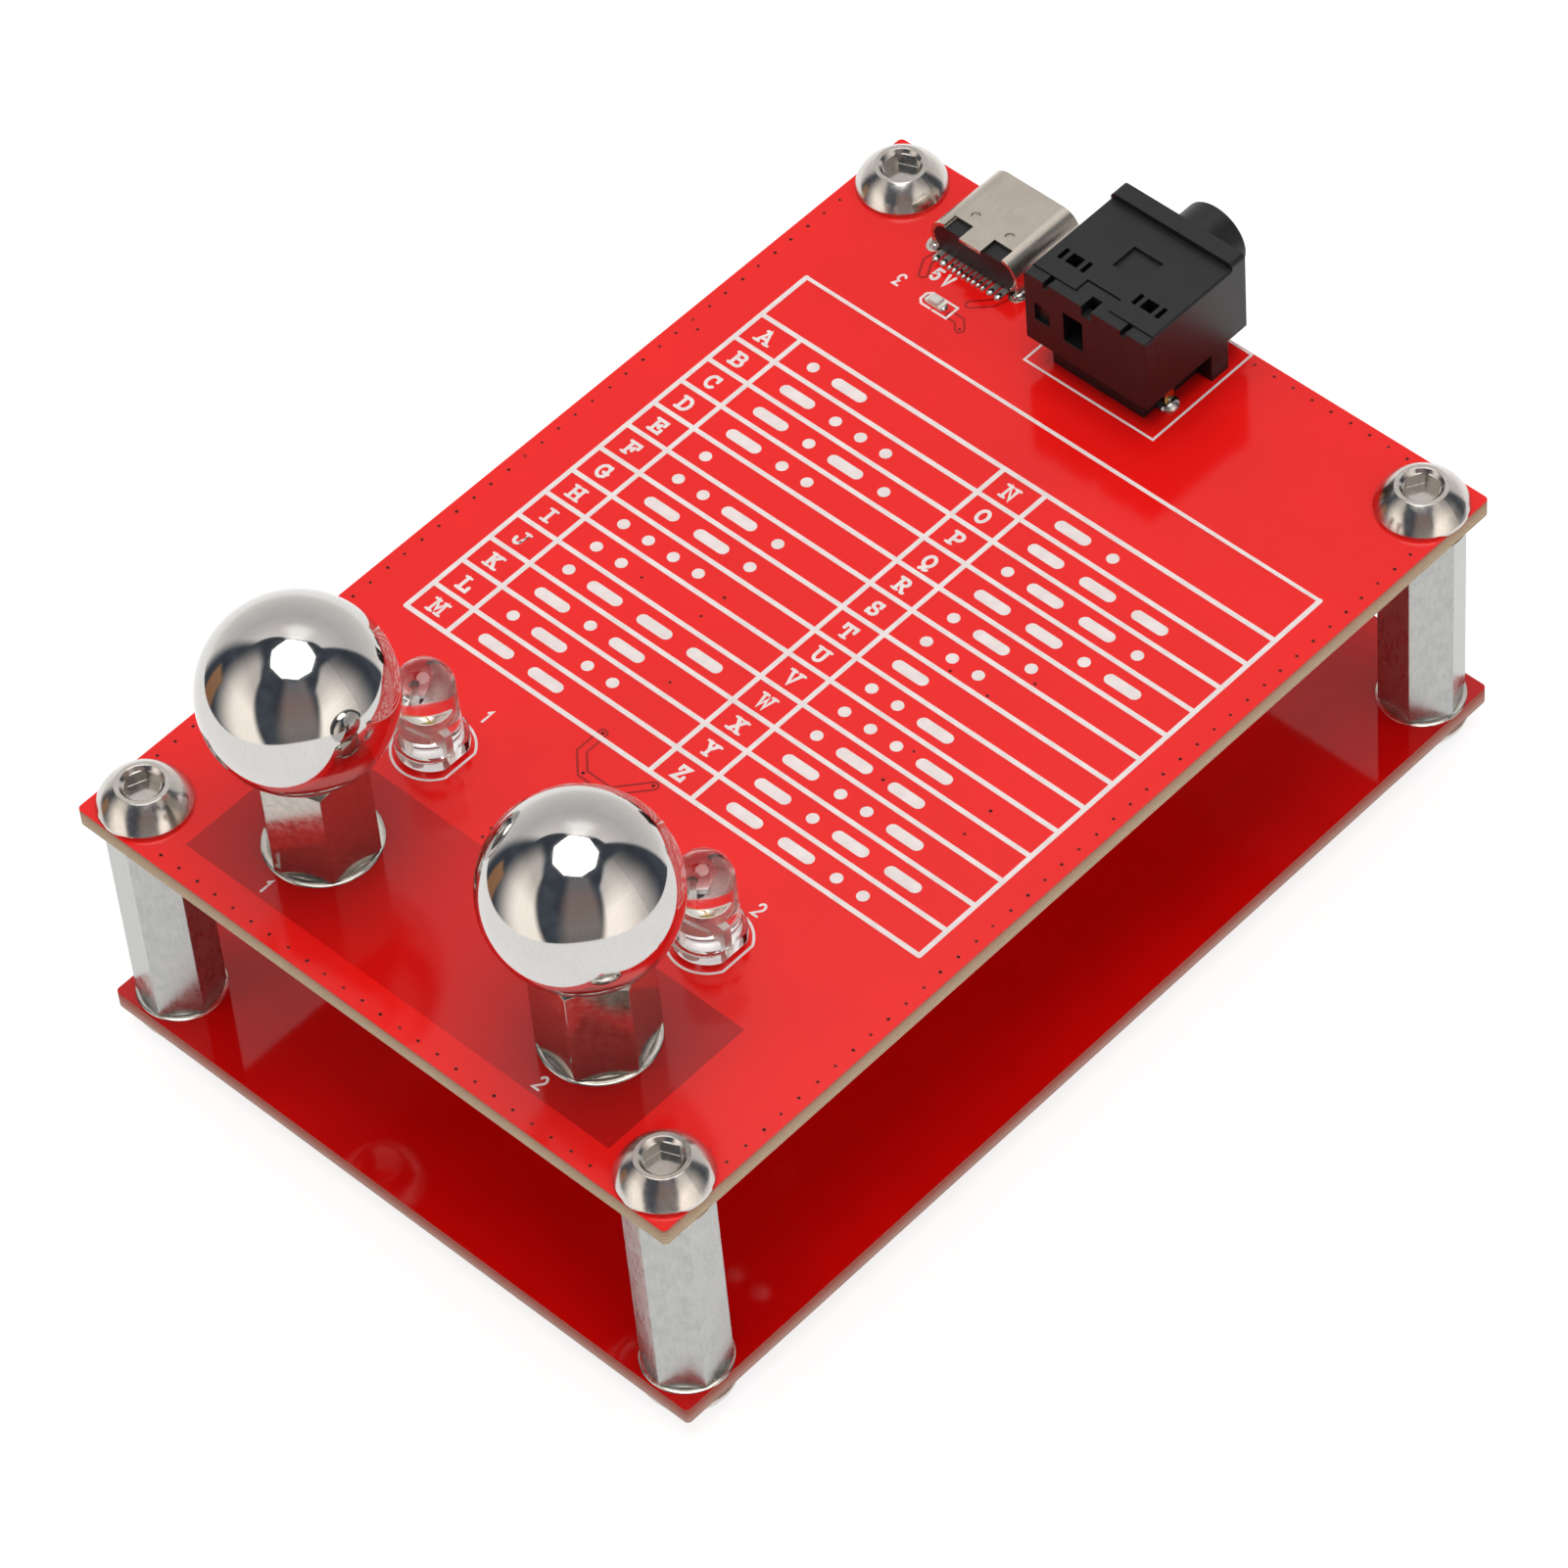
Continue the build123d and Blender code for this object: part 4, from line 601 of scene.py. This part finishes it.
def copperPieces():
    dots, rims, gaps = bmesh.new(), bmesh.new(), bmesh.new()
    chance = random.Random(7)
    drift, long = copper["viaDrift"], copper["viaHalfLength"]
    for x, y in viaPlaces():
        x += chance.uniform(-drift, drift)
        y += chance.uniform(-drift, drift) + boardY
        r = copper["viaRadius"] * chance.uniform(*copper["viaSpread"])
        addRibbon(dots, [(x - long, y), (x + long, y)], 2 * r, deck + copper["viaHeight"])
        ring = ovalPoints(x, y, r + copper["rimGap"], r + copper["rimGap"], 12)
        addRibbon(rims, ring, copper["rimWidth"], deck + copper["rimHeight"], closed=True)
    newPiece("viaPlugs", dots, viaDark, thickness=copper["viaThickness"])
    newPiece("viaRims", rims, ridgeMask, thickness=copper["rimThickness"], bevel=copper["rimBevel"])
    for track in copper["tracks"]:
        path = [Vector((x, y + boardY)) for x, y in track]
        side = [[], []]
        for i, p in enumerate(path):
            inward = (p - path[i - 1]).normalized() if i else (path[1] - p).normalized()
            outward = (path[i + 1] - p).normalized() if i < len(path) - 1 else inward
            along = (inward + outward).normalized()
            shift = Vector((-along.y, along.x)) * copper["trackHalf"] / max(0.4, along.dot(outward))
            side[0].append(p + shift)
            side[1].append(p - shift)
        for edge in side:
            addRibbon(gaps, edge, copper["gapWidth"], deck + copper["gapHeight"])
        for end, ahead in ((path[0], path[0] - path[1]), (path[-1], path[-1] - path[-2])):
            turn = math.degrees(math.atan2(ahead.y, ahead.x))
            cap = arcPoints(end.x, end.y, copper["trackHalf"], copper["trackHalf"], turn - 90, turn + 90, 10)
            addRibbon(gaps, cap, copper["gapWidth"], deck + copper["gapHeight"] + strokeStep)
    newPiece("trackGaps", gaps, gapMask, thickness=copper["gapThickness"])


copperPieces()


rings = {  # open tinned rings around the posts and pillars
    "postRadius": 4.22, "postWidth": 0.86, "postDome": 0.17, "pillarRadius": 3.2, "pillarWidth": 0.75,
    "pillarDome": 0.12, "thickness": 0.035, "bury": 0.01, "cornerX": 26.5, "cornerY": 41.3,
}
corners = [(sx * rings["cornerX"], boardY + sy * rings["cornerY"]) for sx in (-1, 1) for sy in (-1, 1)]


def middleOf(node):
    low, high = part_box(node)
    return (low[0] + high[0]) / 2 / mm, (low[1] + high[1]) / 2 / mm


posts = [middleOf("left_touch_post"), middleOf("right_touch_post")]


def addDomedRing(bm, x, y, radius, width, z, dome, steps=60, rows=7):
    # tin that froze in a low round bead along the ring, closed below
    loops = []
    for j in range(rows):
        swing = math.pi * j / (rows - 1)
        r = radius + width / 2 * math.cos(swing)
        loops.append([bm.verts.new(((x + px) * mm, (y + py) * mm, (z + dome * math.sin(swing)) * mm))
                      for px, py in ovalPoints(0, 0, r, r, steps)])
    for lower, upper in zip(loops, loops[1:] + loops[:1]):
        for i in range(steps):
            k = (i + 1) % steps
            bm.faces.new((lower[i], lower[k], upper[k], upper[i]))


def ringPieces():
    pads, under = bmesh.new(), bmesh.new()
    sunk, r = rings["bury"], rings["pillarRadius"]
    for x, y in posts:
        addDomedRing(pads, x, y, rings["postRadius"], rings["postWidth"], deck - sunk, rings["postDome"])
    for x, y in corners:
        addDomedRing(pads, x, y, r, rings["pillarWidth"], lowerDeck - sunk, rings["pillarDome"])
        addRibbon(under, ovalPoints(x, y, r, r, 60)[::-1], rings["pillarWidth"],
                  underDeck - rings["thickness"], closed=True)
    newPiece("openRings", pads, levelledTin).data.shade_smooth()
    newPiece("underRings", under, levelledTin, thickness=rings["thickness"] + sunk)


ringPieces()
print("copper, vias and rings made")


lampBody = {  # the 5 mm lamps
    "base": 25.9, "height": 8.6, "domeRadius": 2.35, "bodyRadius": 2.45, "flangeRadius": 2.85,
    "flangeHeight": 1.0, "fillet": (0.03, 0.6), "flat": 2.5, "rounding": 0.12, "turnSteps": 96,
    "sharpAngle": 35,
}


def clearLamp(name, x, node):
    # one closed turned body with the lead frame standing inside it, so light bends only at its skin
    look = lampBody
    domeCentre = look["height"] - look["domeRadius"]
    flange, body, soft = look["flangeHeight"], look["bodyRadius"], look["rounding"]
    inset, above = look["fillet"]
    outline = arcPoints(0, domeCentre, look["domeRadius"], look["domeRadius"], 90, 0, 24)[1:]
    outline += [(body - inset, flange + above), (body, flange + soft), (body + soft, flange)]
    outline += arcPoints(look["flangeRadius"] - soft, flange - soft, soft, soft, 90, 0, 4)
    outline += arcPoints(look["flangeRadius"] - soft, soft, soft, soft, 0, -90, 4)
    bm = bmesh.new()
    top = bm.verts.new((x * mm, lampY * mm, (look["base"] + look["height"]) * mm))
    steps = look["turnSteps"]
    rows = []
    for radius, z in outline:
        row = []
        for px, py in ovalPoints(0, 0, radius, radius, steps):
            flatX = min(px, look["flat"]) if z <= flange + soft else px
            row.append(bm.verts.new(((x + flatX) * mm, (lampY + py) * mm, (look["base"] + z) * mm)))
        rows.append(row)
    for i in range(steps):
        j = (i + 1) % steps
        bm.faces.new((top, rows[0][i], rows[0][j]))
        for upper, lower in zip(rows, rows[1:]):
            bm.faces.new((upper[i], lower[i], lower[j], upper[j]))
    bm.faces.new(rows[-1][::-1])
    lamp = newPiece(name, bm, castEpoxy)
    lamp.data.shade_smooth()
    lamp.data.set_sharp_from_angle(angle=math.radians(look["sharpAngle"]))
    lamp.visible_shadow = False  # clear resin throws next to no shadow on the board
    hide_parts(node)


clearLamp("leftClearLamp", posts[0][0], "left_lamp_lens")
clearLamp("rightClearLamp", posts[1][0], "right_lamp_lens")
print("clear lamps made")


lampWire = {  # from the top of the die over to the second lead
    "radius": 0.035, "route": ((0, 29.55), (-0.05, 30.15), (-0.6, 30.15), (-1.22, 29.63), (-1.22, 29.33)),
}


def lampWires():
    for post, name in zip(posts, ("leftBondWire", "rightBondWire")):
        curve = bpy.data.curves.new(name, "CURVE")
        curve.dimensions = "3D"
        curve.bevel_depth = lampWire["radius"] * mm
        curve.bevel_resolution = 2
        spline = curve.splines.new("NURBS")
        route = [(post[0] + along, lampY, z) for along, z in lampWire["route"]]
        spline.points.add(len(route) - 1)
        for point, place in zip(spline.points, route):
            point.co = [c * mm for c in place] + [1.0]
        spline.order_u = 3
        spline.use_endpoint_u = True
        wire = bpy.data.objects.new(name, curve)
        bpy.context.collection.objects.link(wire)
        curve.materials.append(goldFlash)
        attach(wire, "key")


lampWires()


socketSolder = {  # each bead: half sizes and the height of its middle over the board
    "legX": 4.32, "legYs": (36.55, 40.73), "legRing": (0.62, 0.95), "legBead": (0.5, 0.75, 0.3, 0.02),
    "ringWidth": 0.3, "ringHeight": 0.04, "ringThickness": 0.05, "ringBevel": 0.012,
    "tailY": 35.2, "tails": (0.25, 0.75, 1.25, 1.75), "tailBead": (0.2, 0.42, 0.24, 0.03),
    "wideTails": (2.45, 3.25), "wideTailBead": (0.34, 0.42, 0.24, 0.03),
    "lampEndX": 0.85, "lampEndY": 31.6, "lampEndBead": (0.26, 0.4, 0.22, 0.04),
    "jackPins": ((-5.1, 35.1), (5.1, 35.1)), "pinBead": (0.95, 0.95, 0.62, 0.0), "swell": 0.06,
}


def addBead(bm, x, y, bead, chance):
    # a small frozen drop: a sphere pressed flat, its outline pushed about a little
    halfX, halfY, halfZ, lift = bead
    for v in bmesh.ops.create_uvsphere(bm, u_segments=14, v_segments=8, radius=1.0)["verts"]:
        swell = 1 + socketSolder["swell"] * chance.uniform(-1, 1)
        v.co = Vector(((x + v.co.x * halfX * swell) * mm, (y + v.co.y * halfY * swell) * mm,
                       (deck + lift + v.co.z * halfZ) * mm))


def socketSolderPieces():
    look = socketSolder
    centre = middleOf("usb_shell")[0]
    pads, beads = bmesh.new(), bmesh.new()
    chance = random.Random(3)
    for side in (-1, 1):
        for y in look["legYs"]:
            x = centre + side * look["legX"]
            oval = ovalPoints(x, y, *look["legRing"], 24)
            addRibbon(pads, oval, look["ringWidth"], deck + look["ringHeight"], closed=True)
            addBead(beads, x, y, look["legBead"], chance)
    for places, bead in (("tails", "tailBead"), ("wideTails", "wideTailBead")):
        for place in look[places]:
            for side in (-1, 1):
                addBead(beads, centre + side * place, look["tailY"], look[bead], chance)
    for side in (-1, 1):
        addBead(beads, centre + side * look["lampEndX"], look["lampEndY"], look["lampEndBead"], chance)
    for x, y in look["jackPins"]:
        addBead(beads, x, y, look["pinBead"], chance)
    newPiece("socketPads", pads, levelledTin, thickness=look["ringThickness"],
             bevel=look["ringBevel"])
    newPiece("socketSolder", beads, frozenSolder).data.shade_smooth()


socketSolderPieces()
print("wires and solder made")


studio = {  # lengths and grain sizes in metres, angles in degrees
    "radius": 0.9, "eyeHeight": 0.03, "echo": 0.15, "ambient": 0.18,
    "topAim": (0.045, -0.079, 0.996), "topSpread": 23.5, "topStrength": 4.0,
    "clothTones": [(0.0, "#FFFCF8"), (1.0, "#FFFFFD")], "weave": 1 / 12,
    "roomRadius": 1.3, "roomTones": [(0.3, "#3A4048"), (0.5, "#454B54"), (0.75, "#555C66")], "clutter": 0.5,
    "tableReach": (0.4, 0.17), "tableTurn": -42, "paper": "#EFEDEB",
    "floorShade": "#898989", "floorGlow": 0.84,
    # each sheet, as the object sees it: first and last azimuth, lowest elevation, highest elevation at its
    # start, middle and end, soft share of its start, end, foot and top, and tones from foot to top
    "sheets": {
        "paperSweep": {
            "turns": (66, 198), "low": -16, "high": (60, 72.5, 44), "soft": (0.04, 0.1, 0.0, 0.02),
            "strength": 1.65, "ramp": [(0.0, "#DAD7D5"), (0.2, "#BDBAB8"), (0.38, "#B0AEAD"),
                                       (0.6, "#A6A4A3"), (0.8, "#B4B1B0"), (1.0, "#C6C3C1")]},
        "sweepGlow": {
            "turns": (90, 166), "low": 46, "high": (71, 72, 71), "soft": (0.4, 0.4, 0.5, 0.04),
            "strength": 1.65, "nearer": 0.02, "ramp": [(0.0, "#D4D1CF"), (1.0, "#F4F2F0")]},
        "leftClothBox": {
            "turns": (-148, -83), "low": -16, "high": (56, 62, 50), "soft": (0.6, 0.14, 0.0, 0.12),
            "strength": 1.6, "lean": -30, "ramp": [(0.0, "#EFE6DD"), (0.45, "#F4ECE3"), (0.6, "#D9D0C8"),
                                                   (0.74, "#BAB3AD"), (1.0, "#A9A5A2")]},
        "rightClothBox": {
            "turns": (-27, 54), "low": -16, "high": (46, 62, 44), "soft": (0.1, 0.8, 0.0, 0.08),
            "strength": 1.7, "lean": 16, "ramp": [(0.0, "#F1E8DF"), (0.5, "#F6EDE5"), (0.66, "#D9D1CA"),
                                                  (0.82, "#BDB8B3"), (1.0, "#A8A5A2")]},
        "dimStrip": {
            "turns": (-72, -16), "low": -16, "high": (66, 66, 66), "soft": (0.3, 0.25, 0.0, 0.1),
            "strength": 0.5, "nearer": -0.02, "ramp": [(0.0, "#A8A3A2"), (0.3, "#C9BFBB"), (0.62, "#C8AFA8"),
                                                       (1.0, "#9FA6B2")]},
        "woodenBoard": {
            "turns": (-158, -140), "low": -16, "high": (14, 14, 14), "soft": (0.2, 0.2, 0.0, 0.2),
            "strength": 0.62, "nearer": 0.02, "ramp": [(0.0, "#C08A64"), (1.0, "#D0A07C")]},
    },
}


def stageObject(name, bm, material, hiddenFrom=()):
    piece = meshObject(name, bm, material)
    for ray in hiddenFrom:
        setattr(piece, "visible_" + ray, False)


def withoutEcho(tree, strength):
    # light that a polished ball would throw back on the matt board in swirls is held down
    path = addNode(tree, "ShaderNodeLightPath")
    bounced = addNode(tree, "ShaderNodeMath", {0: path.outputs["Diffuse Depth"], 1: 1.0}, operation="MINIMUM")
    echo = addNode(tree, "ShaderNodeMath", {
        0: path.outputs["Is Glossy Ray"], 1: bounced.outputs[0]}, operation="MULTIPLY")
    return addNode(tree, "ShaderNodeMapRange", {
        "Value": echo.outputs[0], "To Min": strength, "To Max": strength * studio["echo"]}).outputs[0]


def lampCloth(name, look):
    # light through cloth or off paper: it changes with height and fades out softly at the sides
    material, tree = newMaterial(name)
    sheet = addNode(tree, "ShaderNodeUVMap", uv_map="sheet")
    place = addNode(tree, "ShaderNodeSeparateXYZ", {0: sheet.outputs[0]})
    glow = addNode(tree, "ShaderNodeValToRGB", {0: place.outputs["Y"]}, look["ramp"])
    cover = 1.0
    for axis, edge, width in zip("XXYY", (0.0, 1.0, 0.0, 1.0), look["soft"]):
        if width:
            fade = addNode(tree, "ShaderNodeMapRange", {
                "Value": place.outputs[axis], "From Min": edge, "From Max": abs(edge - width)},
                interpolation_type="SMOOTHSTEP")
            cover = addNode(tree, "ShaderNodeMath", {
                0: fade.outputs[0], 1: cover}, operation="MULTIPLY").outputs[0]
    light = addNode(tree, "ShaderNodeEmission", {
        "Color": glow.outputs[0], "Strength": withoutEcho(tree, look["strength"])})
    clear = addNode(tree, "ShaderNodeBsdfTransparent")
    faded = addNode(tree, "ShaderNodeMixShader", {0: cover, 1: clear.outputs[0], 2: light.outputs[0]})
    addNode(tree, "ShaderNodeOutputMaterial", {"Surface": faded.outputs[0]})
    return material


def studioSheet(name, look, columns=48, rows=24):
    # a piece of a sphere around the object; its lean turns the top against the foot
    bm = bmesh.new()
    layer = bm.loops.layers.uv.new("sheet")
    start, end = look["turns"]
    first, middle, last = look["high"]
    reach = studio["radius"] - look.get("nearer", 0.0)
    grid = []
    for i in range(columns + 1):
        u = i / columns
        side = first if u < 0.5 else last
        high = side + (middle - side) * math.sin(math.pi * u)
        column = []
        for j in range(rows + 1):
            turn = math.radians(start + (end - start) * u + look.get("lean", 0) * (j / rows - 0.3))
            up = math.radians(look["low"] + (high - look["low"]) * j / rows)
            flat = reach * math.cos(up)
            spot = (flat * math.cos(turn), flat * math.sin(turn), studio["eyeHeight"] + reach * math.sin(up))
            column.append((bm.verts.new(spot), (u, j / rows)))
        grid.append(column)
    for a, b in zip(grid, grid[1:]):
        for j in range(rows):
            quad = (a[j], a[j + 1], b[j + 1], b[j])
            face = bm.faces.new([vert for vert, share in quad])
            for loop, (vert, share) in zip(face.loops, quad):
                loop[layer].uv = share
    stageObject(name, bm, lampCloth(name + "Light", look), ("camera", "shadow"))


def seenByLens(tree):
    # one for what the camera sees directly, in polished metal or through clear resin, but not for what a
    # matt face sees by way of metal, which would add light to it
    path = addNode(tree, "ShaderNodeLightPath")
    direct = addNode(tree, "ShaderNodeMath", {
        0: path.outputs["Is Camera Ray"], 1: path.outputs["Is Glossy Ray"]}, operation="ADD")
    clear = addNode(tree, "ShaderNodeMath", {
        0: direct.outputs[0], 1: path.outputs["Is Transmission Ray"]}, operation="ADD", use_clamp=True)
    first = addNode(tree, "ShaderNodeMath", {0: path.outputs["Diffuse Depth"], 1: 0.5}, operation="LESS_THAN")
    return addNode(tree, "ShaderNodeMath", {
        0: clear.outputs[0], 1: first.outputs[0]}, operation="MULTIPLY").outputs[0]


def topLamp():
    aim = Vector(studio["topAim"]) * studio["radius"] + Vector((0, 0, studio["eyeHeight"]))
    reach = studio["radius"] * math.tan(math.radians(studio["topSpread"]))
    cloth, tree = newMaterial("octagonCloth")
    coords = addNode(tree, "ShaderNodeTexCoord").outputs["Object"]
    weave = addNode(tree, "ShaderNodeTexNoise", {"Vector": coords, "Scale": 1 / studio["weave"]})
    tone = addNode(tree, "ShaderNodeValToRGB", {0: weave.outputs[0]}, studio["clothTones"])
    light = addNode(tree, "ShaderNodeEmission", {
        "Color": tone.outputs[0], "Strength": withoutEcho(tree, studio["topStrength"])})
    addNode(tree, "ShaderNodeOutputMaterial", {"Surface": light.outputs[0]})
    octagon = bmesh.new()
    ring = [octagon.verts.new(aim + Vector((x, y, 0))) for x, y in ovalPoints(0, 0, reach, reach, 8, 12)]
    octagon.faces.new(ring[::-1])
    stageObject("topLamp", octagon, cloth, ("camera",))


def darkRoom():
    # the room around, seen only in polished metal
    room, tree = newMaterial("darkRoom")
    coords = addNode(tree, "ShaderNodeTexCoord").outputs["Object"]
    clutter = addNode(tree, "ShaderNodeTexNoise", {
        "Vector": coords, "Scale": 1 / studio["clutter"], "Detail": 1.0})
    tone = addNode(tree, "ShaderNodeValToRGB", {0: clutter.outputs[0]}, studio["roomTones"])
    light = addNode(tree, "ShaderNodeEmission", {"Color": tone.outputs[0], "Strength": 1.0})
    addNode(tree, "ShaderNodeOutputMaterial", {"Surface": light.outputs[0]})
    shell = bmesh.new()
    bmesh.ops.create_icosphere(shell, subdivisions=4, radius=studio["roomRadius"])
    stageObject("roomShell", shell, room, ("camera", "diffuse", "transmission", "shadow"))


def paperTable():
    # white paper: it keeps a faint soft shadow, and what looks at it sees white
    paper, tree = newMaterial("whitePaper")
    matt = addNode(tree, "ShaderNodeBsdfDiffuse", {"Color": linearColour(studio["paper"])})
    shaded = addNode(tree, "ShaderNodeBsdfDiffuse", {"Color": linearColour(studio["floorShade"])})
    glow = addNode(tree, "ShaderNodeEmission", {"Color": (1, 1, 1, 1), "Strength": studio["floorGlow"]})
    both = addNode(tree, "ShaderNodeAddShader", {0: shaded.outputs[0], 1: glow.outputs[0]})
    seen = addNode(tree, "ShaderNodeMixShader", {
        0: seenByLens(tree), 1: matt.outputs[0], 2: both.outputs[0]})
    addNode(tree, "ShaderNodeOutputMaterial", {"Surface": seen.outputs[0]})
    table = bmesh.new()
    swing = Matrix.Rotation(math.radians(studio["tableTurn"]), 2)
    rim = [swing @ Vector(p) for p in ovalPoints(0, 0, *studio["tableReach"], 60)]
    table.faces.new([table.verts.new((p.x, p.y, 0)) for p in rim])
    stageObject("paperTable", table, paper)


def paleWorld():
    world = bpy.data.worlds.new("paleRoom")
    bpy.context.scene.world = world
    world.use_nodes = True
    tree = world.node_tree
    tree.nodes.clear()
    fill = addNode(tree, "ShaderNodeBackground", {"Color": (1, 1, 1, 1), "Strength": studio["ambient"]})
    white = addNode(tree, "ShaderNodeBackground", {"Color": (1, 1, 1, 1), "Strength": 1.0})
    mixed = addNode(tree, "ShaderNodeMixShader", {
        0: seenByLens(tree), 1: fill.outputs[0], 2: white.outputs[0]})
    addNode(tree, "ShaderNodeOutputWorld", {"Surface": mixed.outputs[0]})


for sheetName, sheetLook in studio["sheets"].items():
    studioSheet(sheetName, sheetLook)
topLamp()
darkRoom()
paperTable()
paleWorld()


view = {  # solved from the corners of the boards, in millimetres and degrees
    "target": (8.43, -11.46, 25.4), "eye": (268.93, -251.25, 443.93), "lens": 171.75, "sensor": 36.0,
    "roll": -5.612,
}


def placeCamera():
    eye = Vector(view["eye"]) * mm
    ahead = (Vector(view["target"]) * mm - eye).normalized()
    right = ahead.cross(Vector((0, 0, 1))).normalized()
    up = right.cross(ahead)
    roll = math.radians(view["roll"])
    axisX = right * math.cos(roll) + up * math.sin(roll)
    axisY = up * math.cos(roll) - right * math.sin(roll)
    data = bpy.data.cameras.new("camera")
    data.lens = view["lens"]
    data.sensor_width = view["sensor"]
    data.sensor_fit = "HORIZONTAL"
    camera = bpy.data.objects.new("camera", data)
    camera.matrix_world = Matrix.Translation(eye) @ Matrix((axisX, axisY, -ahead)).transposed().to_4x4()
    bpy.context.collection.objects.link(camera)
    bpy.context.scene.camera = camera
    bpy.context.scene.view_settings.view_transform = "Standard"


placeCamera()
print("studio and camera set")
